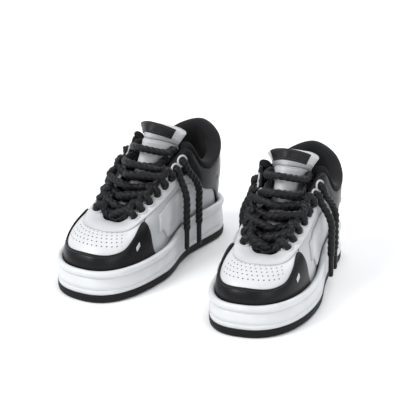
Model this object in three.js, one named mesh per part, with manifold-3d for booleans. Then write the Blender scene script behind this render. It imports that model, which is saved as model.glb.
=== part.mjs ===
// A pair of low-top cheer trainers with padded collars and thick twisted-rope laces.
// Each shoe is built as its maker assembles it: outsole, cupsole, foam core and boards below, a layered
// leather upper above, a padded tongue, two rope laces and the eyelet rings that guide them.
// Millimetres, +Z up, toes towards -Y. The left shoe stands at +X and the right one is its mirror image.
import * as THREE from "three";
import { mergeVertices } from "three/addons/utils/BufferGeometryUtils.js";
import Module from "manifold-3d";

const wasm = await Module();
wasm.setup();

// ---- driving dimensions -------------------------------------------------------------------------
const SHOE_LENGTH = 255; // outsole, heel to toe
const BALL_WIDTH = 106; // widest, across the ball of the foot
const HEEL_WIDTH = 77;
const OUTSOLE_THICK = 9;
const SOLE_TOP = 35; // top of the cupsole's rolled lip
const CUP_WALL = 5; // thickness of the cupsole's side wall
const CUP_FLOOR = 4;
const CORE_THICK = 13;
const BOARD_THICK = 2;
const FOOTBED_THICK = 4;
const FOOTBED_CLEARANCE = 1.8; // the loose footbed inside the upper
const GAP = 0.3; // clearance between pieces that touch
const LAYER_GAP = 1.05; // between curved layers of the upper
const CUP_GAP = 1.4; // between the upper and the cupsole's wall
const BASE_THICK = 1.6; // vamp and quarters
const OVERLAY_THICK = 1.8; // toe guard, eyestay, panels, collar and counter
const COLLAR_HEIGHT = 116; // heel rim above the floor
const ANKLE_HEIGHT = 91; // lowest point of the rim at the ankle
const EYESTAY_HEIGHT = 121; // top corner of the eyestay
const THROAT_HEIGHT = 60; // front of the lacing gap
const THROAT_Y = -58;
const HEEL_RISE = 6; // the sole edge climbs this much towards the heel
const TONGUE_THICK = 8;
const TONGUE_HALF_WIDTH = 29;
const TONGUE_TOP_HEIGHT = 150;
const LABEL_THICK = 1.4;
const EYELET_ROWS = 8;
const EYELET_INSET = 8.5; // eyelet centre to the eyestay's inner edge
const EYELET_BORE_RADIUS = 4.5;
const LACE_DIAMETER = 6.4;
const LACE_SIDES = 8;
const AGLET_LENGTH = 24;
const AGLET_DIAMETER = 5;
const TOE_OUT_DEGREES = 6.8; // each shoe is turned outwards
const SHOE_SPACING = 166; // centre to centre
const LEFT_SHOE_LEAD = 12; // how far the left shoe stands in front of the right one

// ---- derived heights ----------------------------------------------------------------------------
const CORE_BOTTOM = OUTSOLE_THICK + GAP + CUP_FLOOR + GAP;
const BOARD_BOTTOM = CORE_BOTTOM + CORE_THICK + GAP;
const FEATHER_HEIGHT = BOARD_BOTTOM + BOARD_THICK + GAP; // where the upper meets the board
const OVERLAY_BASE = BASE_THICK + LAYER_GAP;
const OVERLAY_TOP = OVERLAY_BASE + OVERLAY_THICK;
const UPPER_INSET = CUP_WALL + CUP_GAP + OVERLAY_TOP; // base surface of the upper inside the sole's outline
const LACE_RADIUS = LACE_DIAMETER / 2;

// ---- small numeric helpers ----------------------------------------------------------------------
const clamp = (v, lo, hi) => Math.min(hi, Math.max(lo, v));
const lerp = (a, b, t) => a + (b - a) * t;
const ease = (t) => t * t * (3 - 2 * t);

// Smooth curve through (knot, value) pairs: cubic Hermite spans, with level ends where asked.
function smooth(knots, values, levelEnds = true) {
  const last = knots.length - 1;
  const slope = (i) => {
    if (i === 0 || i === last) {
      if (levelEnds) return 0;
      const j = i === 0 ? 0 : last - 1;
      return (values[j + 1] - values[j]) / (knots[j + 1] - knots[j]);
    }
    return (values[i + 1] - values[i - 1]) / (knots[i + 1] - knots[i - 1]);
  };
  return (x) => {
    const at = clamp(x, knots[0], knots[last]);
    let i = 0;
    while (i < last - 1 && at > knots[i + 1]) i++;
    const h = knots[i + 1] - knots[i];
    const t = (at - knots[i]) / h;
    const t2 = t * t;
    const t3 = t2 * t;
    return (
      values[i] * (2 * t3 - 3 * t2 + 1) +
      h * slope(i) * (t3 - 2 * t2 + t) +
      values[i + 1] * (3 * t2 - 2 * t3) +
      h * slope(i + 1) * (t3 - t2)
    );
  };
}

// ---- footprint ----------------------------------------------------------------------------------
// A place round the shoe is w: 0 at the toe, +1 at the heel by the outer side, -1 at the heel by the
// inner side, and past +1 it carries on up the inner side.
const TOE_SHARE = 0.38; // share of w that is the toe's curve
const HEEL_SHARE = 0.2; // share of w that is the heel's curve
const TOE_LENGTH = 0.35 * SHOE_LENGTH;
const HEEL_LENGTH = 0.16 * SHOE_LENGTH;
const TOE_POWER = 2 / 2.45; // squareness of the toe
const HEEL_POWER = 2 / 2.3;
const OUTER_WAIST = 3;
const INNER_WAIST = 7;
const TOE_SKEW = 5;

function wrap(w) {
  const v = w > 1 ? w - 2 : w < -1 ? w + 2 : w;
  return { along: Math.abs(v), side: v < 0 ? -1 : 1 };
}

function outline(w, inset = 0) {
  const { along, side } = wrap(w);
  const ballY = -SHOE_LENGTH / 2 + TOE_LENGTH;
  const heelY = SHOE_LENGTH / 2 - HEEL_LENGTH;
  const ballX = BALL_WIDTH / 2 - inset;
  const heelX = HEEL_WIDTH / 2 - inset;
  let x;
  let y;
  if (along < TOE_SHARE) {
    const turn = ((along / TOE_SHARE) * Math.PI) / 2;
    x = ballX * Math.sin(turn) ** TOE_POWER;
    y = ballY - (TOE_LENGTH - inset) * Math.max(0, Math.cos(turn)) ** TOE_POWER;
  } else if (along > 1 - HEEL_SHARE) {
    const turn = (((1 - along) / HEEL_SHARE) * Math.PI) / 2;
    x = heelX * Math.max(0, Math.sin(turn)) ** HEEL_POWER;
    y = heelY + (HEEL_LENGTH - inset) * Math.max(0, Math.cos(turn)) ** HEEL_POWER;
  } else {
    const t = (along - TOE_SHARE) / (1 - HEEL_SHARE - TOE_SHARE);
    const waist = side > 0 ? OUTER_WAIST : INNER_WAIST;
    x = lerp(ballX, heelX, ease(t)) - waist * Math.sin(Math.PI * t) ** 2;
    y = lerp(ballY, heelY, t);
  }
  const skew = TOE_SKEW * clamp((ballY - y) / TOE_LENGTH, 0, 1) ** 2;
  return new THREE.Vector2(side * x - skew, y);
}

function outwards(w, inset) {
  const d = outline(w + 0.004, inset).sub(outline(w - 0.004, inset));
  return new THREE.Vector2(-d.y, d.x).normalize().multiplyScalar(-1);
}

// ---- the upper's base surface -------------------------------------------------------------------
// At each place round the shoe a cubic arc rises from the feather line to the rim. The rim is the
// lacing gap's edge in front and the collar's edge behind.
const RIM_AT = [0, 0.11, 0.19, 0.28, 0.4, 0.52, 0.62, 0.68, 0.74, 0.81, 0.89, 0.95, 1];
const throatRise = EYESTAY_HEIGHT - THROAT_HEIGHT;
const collarRise = COLLAR_HEIGHT - ANKLE_HEIGHT;
const rimX = smooth(RIM_AT, [0, 9, 14.5, 17, 19, 22, 26, 31, 36, 37.5, 32.5, 20.5, 0], false);
const rimY = smooth(
  RIM_AT,
  [0, 0.5, 6, 20, 43, 66, 84, 96, 111, 129, 152, 167, 174].map((d) => THROAT_Y + d),
);
const rimZ = smooth(RIM_AT, [
  THROAT_HEIGHT,
  THROAT_HEIGHT + 0.01 * throatRise,
  THROAT_HEIGHT + 0.06 * throatRise,
  THROAT_HEIGHT + 0.2 * throatRise,
  THROAT_HEIGHT + 0.44 * throatRise,
  THROAT_HEIGHT + 0.7 * throatRise,
  THROAT_HEIGHT + 0.93 * throatRise,
  EYESTAY_HEIGHT,
  ANKLE_HEIGHT + 0.3 * collarRise,
  ANKLE_HEIGHT,
  ANKLE_HEIGHT + 0.3 * collarRise,
  ANKLE_HEIGHT + 0.74 * collarRise,
  COLLAR_HEIGHT,
]);
const BULGE_AT = [0, 0.19, 0.28, 0.4, 0.52, 0.66, 0.8, 0.92, 1];
const lowUp = smooth(BULGE_AT, [25, 24, 25, 26, 26, 28, 26, 36, 40]);
const highOut = smooth(BULGE_AT, [36, 28, 22, 18, 15, 9, 1.5, 3, 4]);
const highUp = smooth(BULGE_AT, [4, 2, -1, -6, -12, -22, -22, -26, -28]);

function surface(w, t) {
  const { along, side } = wrap(w);
  const foot = outline(w, UPPER_INSET);
  const out = outwards(w, UPPER_INSET);
  const rim = new THREE.Vector3(side * rimX(along), rimY(along), rimZ(along));
  const low = new THREE.Vector3(foot.x, foot.y, FEATHER_HEIGHT);
  const p1 = new THREE.Vector3(
    foot.x,
    foot.y,
    FEATHER_HEIGHT + lowUp(along),
  );
  const p2 = new THREE.Vector3(
    rim.x + out.x * highOut(along),
    rim.y + out.y * highOut(along),
    rim.z + highUp(along),
  );
  const s = 1 - t;
  return low
    .multiplyScalar(s * s * s)
    .addScaledVector(p1, 3 * s * s * t)
    .addScaledVector(p2, 3 * s * t * t)
    .addScaledVector(rim, t * t * t);
}

function normal(w, t) {
  const e = 0.006;
  const dw = surface(w + e, t).sub(surface(w - e, t));
  const dt = surface(w, Math.min(1, t + e)).sub(surface(w, Math.max(0, t - e)));
  return dw.cross(dt).normalize();
}

const lifted = (w, t, lift) => surface(w, t).addScaledVector(normal(w, t), lift);

// ---- mesh builders ------------------------------------------------------------------------------
function meshFrom(points, faces) {
  const g = new THREE.BufferGeometry();
  g.setAttribute("position", new THREE.Float32BufferAttribute(points.flatMap((p) => [p.x, p.y, p.z]), 3));
  g.setIndex(faces.flat());
  return g;
}

// A closed plate between two surfaces over a grid: outer(u, v) and inner(u, v), with u and v from 0 to 1.
function plate(outer, inner, nu, nv) {
  const points = [];
  for (const face of [outer, inner])
    for (let i = 0; i <= nu; i++) for (let j = 0; j <= nv; j++) points.push(face(i / nu, j / nv));
  const id = (layer, i, j) => layer * (nu + 1) * (nv + 1) + i * (nv + 1) + j;
  const faces = [];
  const quad = (a, b, c, d) => faces.push([a, b, c], [a, c, d]);
  for (let i = 0; i < nu; i++)
    for (let j = 0; j < nv; j++) {
      quad(id(0, i, j), id(0, i + 1, j), id(0, i + 1, j + 1), id(0, i, j + 1));
      quad(id(1, i, j), id(1, i, j + 1), id(1, i + 1, j + 1), id(1, i + 1, j));
    }
  for (let i = 0; i < nu; i++) {
    quad(id(0, i, 0), id(1, i, 0), id(1, i + 1, 0), id(0, i + 1, 0));
    quad(id(0, i, nv), id(0, i + 1, nv), id(1, i + 1, nv), id(1, i, nv));
  }
  for (let j = 0; j < nv; j++) {
    quad(id(0, 0, j), id(0, 0, j + 1), id(1, 0, j + 1), id(1, 0, j));
    quad(id(0, nu, j), id(1, nu, j), id(1, nu, j + 1), id(0, nu, j + 1));
  }
  return meshFrom(points, faces);
}

// A piece of the upper: w runs from w0 to w1, and t from low(w) to high(w), lifted from the base surface.
function panel({ from, to, low, high, lift, thick, across, up }) {
  const face = (height) => (u, v) => {
    const w = lerp(from, to, u);
    return lifted(w, lerp(low(w), high(w), v), height);
  };
  return plate(face(lift + thick), face(lift), across, up);
}

// The sole edge climbs towards the heel; what lies below the feather line stays level.
const climb = smooth([-SHOE_LENGTH / 2, -SHOE_LENGTH * 0.2, SHOE_LENGTH * 0.25, SHOE_LENGTH / 2], [0, 0, 1, 1]);
const heelRise = (y, z) => HEEL_RISE * climb(y) * clamp((z - SOLE_TOP + 10) / 10, 0, 1);

// A stack of closed contours joined by strips, with its first and last contour capped.
function stack(levels, count = 40) {
  const points = [];
  const faces = [];
  levels.forEach(({ z, inset, rises }) => {
    for (let i = 0; i < count; i++) {
      const p = outline(-1 + (2 * i) / count, inset);
      points.push(new THREE.Vector3(p.x, p.y, z + (rises ? heelRise(p.y, z) : 0)));
    }
  });
  for (let k = 0; k + 1 < levels.length; k++)
    for (let i = 0; i < count; i++) {
      const j = (i + 1) % count;
      const [a, b, c, d] = [k * count + i, k * count + j, (k + 1) * count + j, (k + 1) * count + i];
      faces.push([a, b, c], [a, c, d]);
    }
  const cap = (k, flip) => {
    const centre = points.push(new THREE.Vector3(-1, 0, levels[k].z)) - 1;
    for (let i = 0; i < count; i++) {
      const a = k * count + i;
      const b = k * count + ((i + 1) % count);
      faces.push(flip ? [centre, b, a] : [centre, a, b]);
    }
  };
  cap(0, true);
  cap(levels.length - 1, false);
  return meshFrom(points, faces);
}

// A path whose steps fall exactly on its points.
class ThroughPoints extends THREE.Curve {
  constructor(points) {
    super();
    this.points = points;
  }

  getPointAt(u, target = new THREE.Vector3()) {
    const at = clamp(u, 0, 1) * (this.points.length - 1);
    const i = Math.min(Math.floor(at), this.points.length - 2);
    return target.lerpVectors(this.points[i], this.points[i + 1], at - i);
  }

  getPoint(u, target) {
    return this.getPointAt(u, target);
  }

  getTangentAt(u, target = new THREE.Vector3()) {
    const i = Math.round(u * (this.points.length - 1));
    const before = this.points[Math.max(0, i - 1)];
    const here = this.points[i];
    const after = this.points[Math.min(this.points.length - 1, i + 1)];
    const arrive = here.clone().sub(before).normalize();
    const leave = after.clone().sub(here).normalize();
    return target.copy(arrive.add(leave)).normalize();
  }
}

// A closed tube of round section through the points.
function tube(points, radius, sides = LACE_SIDES) {
  const section = new THREE.Shape();
  for (let i = 0; i < sides; i++) {
    const a = (2 * Math.PI * i) / sides;
    const at = [radius * Math.cos(a), radius * Math.sin(a)];
    if (i === 0) section.moveTo(...at);
    else section.lineTo(...at);
  }
  section.closePath();
  const path = new ThroughPoints(points);
  const steps = points.length - 1;
  return new THREE.ExtrudeGeometry(section, {
    steps,
    extrudePath: path,
    curveSegments: 1,
    bevelEnabled: false,
  });
}

// ---- solids for cutting -------------------------------------------------------------------------
function solidOf(geometry) {
  const bare = geometry.clone();
  bare.deleteAttribute("normal");
  bare.deleteAttribute("uv");
  const merged = mergeVertices(bare, 1e-3);
  return new wasm.Manifold(
    new wasm.Mesh({
      numProp: 3,
      vertProperties: new Float32Array(merged.attributes.position.array),
      triVerts: new Uint32Array(merged.index.array),
    }),
  );
}

function geometryOf(solid) {
  const m = solid.getMesh();
  const g = new THREE.BufferGeometry();
  g.setAttribute("position", new THREE.BufferAttribute(new Float32Array(m.vertProperties), 3));
  g.setIndex(new THREE.BufferAttribute(new Uint32Array(m.triVerts), 1));
  return g;
}

// ---- eyelets ------------------------------------------------------------------------------------
const FIRST_EYELET = 0.235; // w of the first and the last row
const LAST_EYELET = 0.628;

function eyelet(row, side) {
  const w = side * lerp(FIRST_EYELET, LAST_EYELET, row / (EYELET_ROWS - 1));
  const rim = surface(w, 1);
  let t = 1;
  while (surface(w, t).distanceTo(rim) < EYELET_INSET) t -= 0.004;
  const n = normal(w, t);
  return { centre: surface(w, t).addScaledVector(n, OVERLAY_TOP), normal: n, w, t };
}

function cylinderAlong(centre, axis, radius, below, above, sides = 8) {
  const g = new THREE.CylinderGeometry(radius, radius, below + above, sides);
  g.translate(0, (above - below) / 2, 0);
  g.applyQuaternion(new THREE.Quaternion().setFromUnitVectors(new THREE.Vector3(0, 1, 0), axis));
  return g.translate(centre.x, centre.y, centre.z);
}


// ---- lower pieces -------------------------------------------------------------------------------
function outsole() {
  return stack([
    { z: 0, inset: 3 },
    { z: 2, inset: 1 },
    { z: OUTSOLE_THICK, inset: 0.8 },
  ]);
}

function cupsole() {
  const outside = stack([
    { z: OUTSOLE_THICK + GAP, inset: 1.6 },
    { z: OUTSOLE_THICK + 3, inset: 1 },
    { z: SOLE_TOP - 8, inset: 2, rises: true },
    { z: SOLE_TOP - 6, inset: 0.4, rises: true },
    { z: SOLE_TOP - 3, inset: 0, rises: true },
    { z: SOLE_TOP - 0.8, inset: 0.8, rises: true },
    { z: SOLE_TOP, inset: 2.4, rises: true },
  ]);
  const hollow = stack([
    { z: CORE_BOTTOM - GAP, inset: CUP_WALL },
    { z: SOLE_TOP + 20, inset: CUP_WALL },
  ]);
  return geometryOf(solidOf(outside).subtract(solidOf(hollow)));
}

function layer(bottom, thick, inset) {
  return stack([
    { z: bottom, inset },
    { z: bottom + thick, inset },
  ]);
}

// ---- edges between the upper's pieces -----------------------------------------------------------
const SEAM = 0.006; // gap between neighbours, in w
const VAMP_END = 0.29; // vamp to quarter
const EYESTAY_END = 0.546; // rear end of the eyestay's legs
const BASE_STEP = 0.672; // behind this the quarters reach the rim
const ANKLE_END = 0.885; // ankle overlay to heel piping
const COUNTER_START = 0.905;
const eyestayLow = smooth([0, 0.11, 0.24, 0.4, 0.55, 0.675], [0.74, 0.73, 0.69, 0.67, 0.68, 0.72]);
const GUARD_AT = [0, 0.12, 0.17, 0.205, 0.235, 0.275, 0.31, 0.35];
const guardHigh = smooth(GUARD_AT, [0.36, 0.36, 0.4, 0.5, 0.63, 0.64, 0.42, 0.03]);
const guardTop = (w) => guardHigh(Math.abs(w));
const stayBottom = (w) => eyestayLow(Math.abs(w));
const collarLow = smooth([0.552, 0.6, 0.68, 0.76, 0.82, 0.862, 0.885], [0.76, 0.7, 0.64, 0.58, 0.46, 0, 0]);
const panelLow = smooth([0.38, 0.44, 0.66, 0.74], [0.3, 0.14, 0.12, 0.26]);
const panelHigh = smooth([0.38, 0.44, 0.66, 0.74], [0.56, 0.6, 0.54, 0.42]);

function eyeletCuts(side, radius) {
  const cuts = [];
  for (let row = 0; row < EYELET_ROWS; row++) {
    const e = eyelet(row, side);
    cuts.push(solidOf(cylinderAlong(e.centre, e.normal, radius, 5, 4)));
  }
  return cuts;
}

function pierced(geometry) {
  let solid = solidOf(geometry);
  for (const side of [-1, 1])
    for (const cut of eyeletCuts(side, EYELET_BORE_RADIUS)) solid = solid.subtract(cut);
  return geometryOf(solid);
}

// The vamp and the quarters end beneath the eyestay, short of its holes.
const baseHigh = (w) => (Math.abs(w) < BASE_STEP ? stayBottom(w) + 0.1 : 1);

function basePanel(from, to, across) {
  return panel({ from, to, low: () => 0, high: baseHigh, lift: 0, thick: BASE_THICK, across, up: 5 });
}

function forSide(side, p) {
  const flip = (f) => (w) => f(Math.abs(w));
  const [from, to] = side > 0 ? [p.from, p.to] : [-p.to, -p.from];
  const low = flip(p.low);
  const high = flip(p.high);
  return panel({ ...p, from, to, low, high, lift: OVERLAY_BASE, thick: OVERLAY_THICK });
}

const vamp = () => basePanel(-VAMP_END, VAMP_END, 18);
const quarter = (side) =>
  side > 0
    ? basePanel(VAMP_END + SEAM, 1 - SEAM / 2, 18)
    : basePanel(-1 + SEAM / 2, -VAMP_END - SEAM, 18);

const toeOverlay = () =>
  panel({
    from: -0.35,
    to: 0.35,
    low: () => 0,
    high: guardTop,
    lift: OVERLAY_BASE,
    thick: OVERLAY_THICK,
    across: 24,
    up: 4,
  });

const eyestay = () =>
  pierced(
    panel({
      from: -EYESTAY_END,
      to: EYESTAY_END,
      low: stayBottom,
      high: () => 1,
      lift: OVERLAY_BASE,
      thick: OVERLAY_THICK,
      across: 26,
      up: 2,
    }),
  );

const sidePanel = (side) =>
  forSide(side, { from: 0.38, to: 0.74, low: panelLow, high: panelHigh, across: 8, up: 4 });

const ankleOverlay = (side) =>
  pierced(
    forSide(side, {
      from: 0.552,
      to: ANKLE_END,
      low: (w) => Math.max(0, collarLow(w)),
      high: () => 1,
      across: 16,
      up: 6,
    }),
  );

const heelPiping = (side) =>
  forSide(side, {
    from: ANKLE_END + 0.004,
    to: COUNTER_START - 0.004,
    low: () => 0,
    high: () => 1,
    across: 1,
    up: 5,
  });

const heelCounter = () =>
  panel({
    from: COUNTER_START,
    to: 2 - COUNTER_START,
    low: () => 0,
    high: () => 1,
    lift: OVERLAY_BASE,
    thick: OVERLAY_THICK,
    across: 8,
    up: 5,
  });

// The padded collar: a lining down the inside of the wall, and a roll over the wall's top edges.
// Each corner is its distance outwards from the base surface and its height above the rim.
const COLLAR_SECTION = [
  [-1.9, -48],
  [-1.9, -24],
  [-1.9, 2.2],
  [4.8, 2.2],
  [5.8, 3.6],
  [3.4, 7],
  [-0.6, 8.6],
  [-5, 8],
  [-8.6, 4.6],
  [-9.4, -2],
  [-8.4, -12],
  [-5.4, -26],
  [-3.4, -46],
];

function collar() {
  const from = BASE_STEP;
  const across = 26;
  const points = [];
  const faces = [];
  const n = COLLAR_SECTION.length;
  for (let i = 0; i <= across; i++) {
    const w = lerp(from, 2 - from, i / across);
    const rim = surface(w, 1);
    const rise = rim.clone().sub(surface(w, 0.97)).normalize();
    const perMillimetre = 0.3 / rim.distanceTo(surface(w, 0.7));
    for (const [outward, above] of COLLAR_SECTION) {
      const t = above > 0 ? 1 : Math.max(0.06, 1 + above * perMillimetre);
      const p = lifted(w, t, outward);
      if (above > 0) p.addScaledVector(rise, above);
      points.push(p);
    }
  }
  for (let i = 0; i < across; i++)
    for (let j = 0; j < n; j++) {
      const k = (j + 1) % n;
      const [a, b, c, d] = [i * n + j, i * n + k, (i + 1) * n + k, (i + 1) * n + j];
      faces.push([a, c, b], [a, d, c]);
    }
  const flat = THREE.ShapeUtils.triangulateShape(
    COLLAR_SECTION.map(([a, b]) => new THREE.Vector2(a, b)),
    [],
  );
  for (const [a, b, c] of flat) {
    faces.push([a, b, c]);
    faces.push([across * n + c, across * n + b, across * n + a]);
  }
  return meshFrom(points, faces);
}

// ---- tongue -------------------------------------------------------------------------------------
const CROWN_AT = [0, 0.11, 0.19, 0.28, 0.4, 0.52, 0.62, 0.68];
const crownY = smooth(CROWN_AT, [-78, -62, -52, -40, -23, -8, 3, 9], false);
const crownZ = smooth(CROWN_AT, [44.5, 46.5, 51, 60, 80.5, 103, 122.5, 133], false);
const TONGUE_ROOM = LACE_DIAMETER + 5.3; // below the eyestay's base surface, so that the laces pass between
const HINGE_AT = 0.12; // share of the free top that belongs to the pleats

// Front face of the tongue: a from its toe end (0.1) to the last eyelet row (0.68), then the free top,
// where a runs on to 1.68; q is -1 at one edge, 0 at the crown and 1 at the other edge.
function tongueFace(a, q) {
  const at = Math.min(a, 0.68);
  const side = q < 0 ? -1 : 1;
  const crown = new THREE.Vector3(0, crownY(at), crownZ(at));
  const near = Math.max(at, 0.14);
  const edge = lifted(side * near, 0.93, -TONGUE_ROOM);
  const down = surface(side * near, 0.85).sub(surface(side * near, 1)).normalize();
  if (at < 0.14) {
    edge.y += crownY(at) - crownY(0.14);
    edge.z += crownZ(at) - crownZ(0.14);
  }
  const t = Math.abs(q);
  const reach = Math.abs(edge.x) * 1.25;
  const p = crown
    .multiplyScalar(2 * t ** 3 - 3 * t ** 2 + 1)
    .addScaledVector(new THREE.Vector3(side * reach, 0, 0), t ** 3 - 2 * t ** 2 + t)
    .addScaledVector(edge, 3 * t ** 2 - 2 * t ** 3)
    .addScaledVector(down, reach * (t ** 3 - t ** 2));
  const free = Math.max(0, a - 0.68);
  const flatten = 1 - 0.5 * free;
  const widen = lerp(1, TONGUE_HALF_WIDTH / Math.abs(edge.x), clamp(1.6 * (free - 0.3), 0, 1));
  p.x *= widen;
  p.y = lerp(crownY(at), p.y, flatten) + 15 * free;
  p.z = lerp(crownZ(at), p.z, flatten) + (TONGUE_TOP_HEIGHT - 133) * free - 3 * free * t * t;
  return p;
}

function tongueNormal(a, q) {
  const e = 0.01;
  const dq = tongueFace(a, Math.min(1, q + e)).sub(tongueFace(a, Math.max(-1, q - e)));
  const da = tongueFace(a + e, q).sub(tongueFace(a - e, q));
  return dq.cross(da).normalize();
}

const tongueLifted = (a, q, lift) => tongueFace(a, q).addScaledVector(tongueNormal(a, q), lift);

function tonguePlate({ from, to, half, lift, thick, along, across }) {
  const face = (height) => (u, v) => tongueLifted(lerp(from, to, v), lerp(-half, half, u), height(u, v));
  const soft = (u, v) => -thick * (0.45 + 0.55 * Math.sin(Math.PI * clamp(u, 0, 1)) ** 0.6);
  return plate(face(() => lift), face(lift > 0 ? () => lift - thick : soft), across, along);
}

const tongueBase = () =>
  tonguePlate({ from: 0.1, to: 0.68 + HINGE_AT - 0.02, half: 0.88, lift: 0, thick: 5, along: 9, across: 8 });
const tongueTop = () =>
  tonguePlate({
    from: 0.68 + HINGE_AT + 0.026,
    to: 1.68,
    half: 0.88,
    lift: 0,
    thick: TONGUE_THICK,
    along: 4,
    across: 8,
  });
const tongueLabel = () =>
  tonguePlate({
    from: 1.02,
    to: 1.6,
    half: 0.56,
    lift: LABEL_THICK + 0.8,
    thick: LABEL_THICK,
    along: 2,
    across: 6,
  });

// ---- laces --------------------------------------------------------------------------------------
const ABOVE = LACE_RADIUS + 1.6; // lace centre over the eyestay
const BELOW = -OVERLAY_TOP - LACE_RADIUS - 1.8; // and under it, both from the eyestay's face

function eyeletPoint(row, side, height) {
  const e = eyelet(row, side);
  return e.centre.addScaledVector(e.normal, height);
}

function rimPoint(row, side, height) {
  const { w } = eyelet(row, side);
  const past = height < 0 ? 4.5 : 0;
  const inwards = surface(w, 1).sub(surface(w, 0.97)).normalize();
  return lifted(w, 1, OVERLAY_TOP + height).addScaledVector(inwards, past);
}

function overTongue(row, q, height) {
  const w = lerp(FIRST_EYELET, LAST_EYELET, row / (EYELET_ROWS - 1));
  return tongueLifted(w, q, LACE_RADIUS + 6.6 + height);
}

// One crossing: from beneath the eyestay at a row, over the tongue, and down into the far eyelet of the next.
function crossing(row, side, height) {
  return [
    rimPoint(row, side, BELOW),
    overTongue(row + 0.5, 0, height),
    overTongue(row + 0.75, -side * 0.5, height * 0.6 + 1.875 * LACE_DIAMETER),
    rimPoint(row + 1, -side, ABOVE + 4),
    eyeletPoint(row + 1, -side, ABOVE),
    eyeletPoint(row + 1, -side, BELOW),
  ];
}

// The free end outside the shoe: out of the eyelet, clear of the quarter and the sole, and straight down.
function hanging(row, side, along, low) {
  const start = eyeletPoint(row, side, ABOVE + 0.8);
  const foot = outline(side * along, -HANG_CLEAR);
  const points = [start];
  const steps = 6;
  for (let i = 1; i <= steps; i++) {
    const out = ease(Math.min(1, (2 * i) / steps));
    points.push(
      new THREE.Vector3(
        lerp(start.x, foot.x, out),
        lerp(start.y, foot.y, out),
        lerp(start.z + 1, low, i / steps),
      ),
    );
  }
  return points;
}

const HANG_ALONG = [0.56, 0.66]; // where the two free ends of each side hang, in w
const HANG_LOW = [40, 36]; // height of the rope's end over the floor
const HANG_CLEAR = 5.5; // rope centre outside the outsole's edge

function lowerLacePoints() {
  const half = (side, lift) => {
    const points = [overTongue(0, 0, 0)];
    points.push(overTongue(0, side * 0.5, 1.5625 * LACE_DIAMETER), rimPoint(0, side, ABOVE + 4), eyeletPoint(0, side, ABOVE));
    points.push(eyeletPoint(0, side, BELOW));
    let at = side;
    for (let row = 0; row < EYELET_ROWS - 3; row++) {
      points.push(...crossing(row, at, lift));
      at = -at;
    }
    const row = EYELET_ROWS - 3;
    points.push(rimPoint(row, at, BELOW), overTongue(row + 0.35, at * 0.4, lift * 0.5 + 1));
    points.push(overTongue(row + 0.5, 0, lift), overTongue(row + 0.65, -at * 0.4, lift * 0.5));
    points.push(rimPoint(row + 1, -at, BELOW), eyeletPoint(row + 1, -at, BELOW));
    points.push(eyeletPoint(row + 1, -at, 0), ...hanging(row + 1, -at, HANG_ALONG[0], HANG_LOW[0]));
    return points;
  };
  return [...half(-1, 0).reverse(), ...half(1, LACE_DIAMETER + 0.6).slice(1)];
}

function upperLacePoints() {
  const row = EYELET_ROWS - 1;
  const half = (side) => [
    overTongue(row, side * 0.5, 0),
    rimPoint(row, side, BELOW),
    eyeletPoint(row, side, BELOW),
    eyeletPoint(row, side, 0),
    ...hanging(row, side, HANG_ALONG[1], HANG_LOW[1]),
  ];
  return [...half(-1).reverse(), overTongue(row, 0, 0), ...half(1)];
}

// An aglet continues the lace beyond its last point.
function aglet(last, before) {
  const axis = last.clone().sub(before).normalize();
  const centre = last.clone().addScaledVector(axis, GAP + AGLET_LENGTH / 2);
  return cylinderAlong(centre, axis, AGLET_DIAMETER / 2, AGLET_LENGTH / 2, AGLET_LENGTH / 2);
}

// ---- materials and assembly ---------------------------------------------------------------------
const COLOURS = {
  outsole: [0x1a1a1c, 0.7],
  cupsole: [0xe4e5e7, 0.6],
  foam_insert: [0xcfd2cf, 0.9],
  insole_board: [0x9a8f7c, 0.9],
  footbed: [0x17171a, 0.95],
  vamp: [0xf1f1f2, 0.5],
  toe_overlay: [0x121214, 0.42],
  eyestay: [0xf3f3f4, 0.48],
  quarter: [0xdfe0e2, 0.5],
  side_panel: [0xe3e4e6, 0.5],
  ankle_overlay: [0x131316, 0.45],
  heel_piping: [0xf0f0f0, 0.55],
  heel_counter: [0x121214, 0.42],
  collar_padding: [0x0f0f12, 0.9],
  tongue_base: [0xededee, 0.7],
  tongue_top: [0xf0f0f1, 0.6],
  tongue_label: [0x101013, 0.6],
  lace: [0x141417, 0.55],
  aglet: [0x0c0c0e, 0.25],
};

function finish(name) {
  const key = Object.keys(COLOURS).find((k) => name.startsWith(k));
  const [color, roughness] = COLOURS[key];
  return new THREE.MeshStandardMaterial({ color, roughness });
}

function shoePieces() {
  const pieces = {
    outsole: outsole(),
    cupsole: cupsole(),
    foam_insert: layer(CORE_BOTTOM, CORE_THICK, CUP_WALL + GAP),
    insole_board: layer(BOARD_BOTTOM, BOARD_THICK, CUP_WALL + GAP),
    footbed: layer(FEATHER_HEIGHT, FOOTBED_THICK, UPPER_INSET + FOOTBED_CLEARANCE),
    vamp: vamp(),
    toe_overlay: toeOverlay(),
    eyestay: eyestay(),
    heel_counter: heelCounter(),
    collar_padding: collar(),
    tongue_base: tongueBase(),
    tongue_top: tongueTop(),
    tongue_label: tongueLabel(),
  };
  for (const [side, word] of [
    [1, "lateral"],
    [-1, "medial"],
  ]) {
    pieces[`quarter_${word}`] = quarter(side);
    pieces[`side_panel_${word}`] = sidePanel(side);
    pieces[`ankle_overlay_${word}`] = ankleOverlay(side);
    pieces[`heel_piping_${word}`] = heelPiping(side);
  }
  const lower = lowerLacePoints();
  const upper = upperLacePoints();
  pieces.lace_lower = tube(lower, LACE_RADIUS);
  pieces.lace_upper = tube(upper, LACE_RADIUS);
  pieces.aglet_lower_medial = aglet(lower[0], lower[1]);
  pieces.aglet_lower_lateral = aglet(lower.at(-1), lower.at(-2));
  pieces.aglet_upper_medial = aglet(upper[0], upper[1]);
  pieces.aglet_upper_lateral = aglet(upper.at(-1), upper.at(-2));
  return pieces;
}

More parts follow.
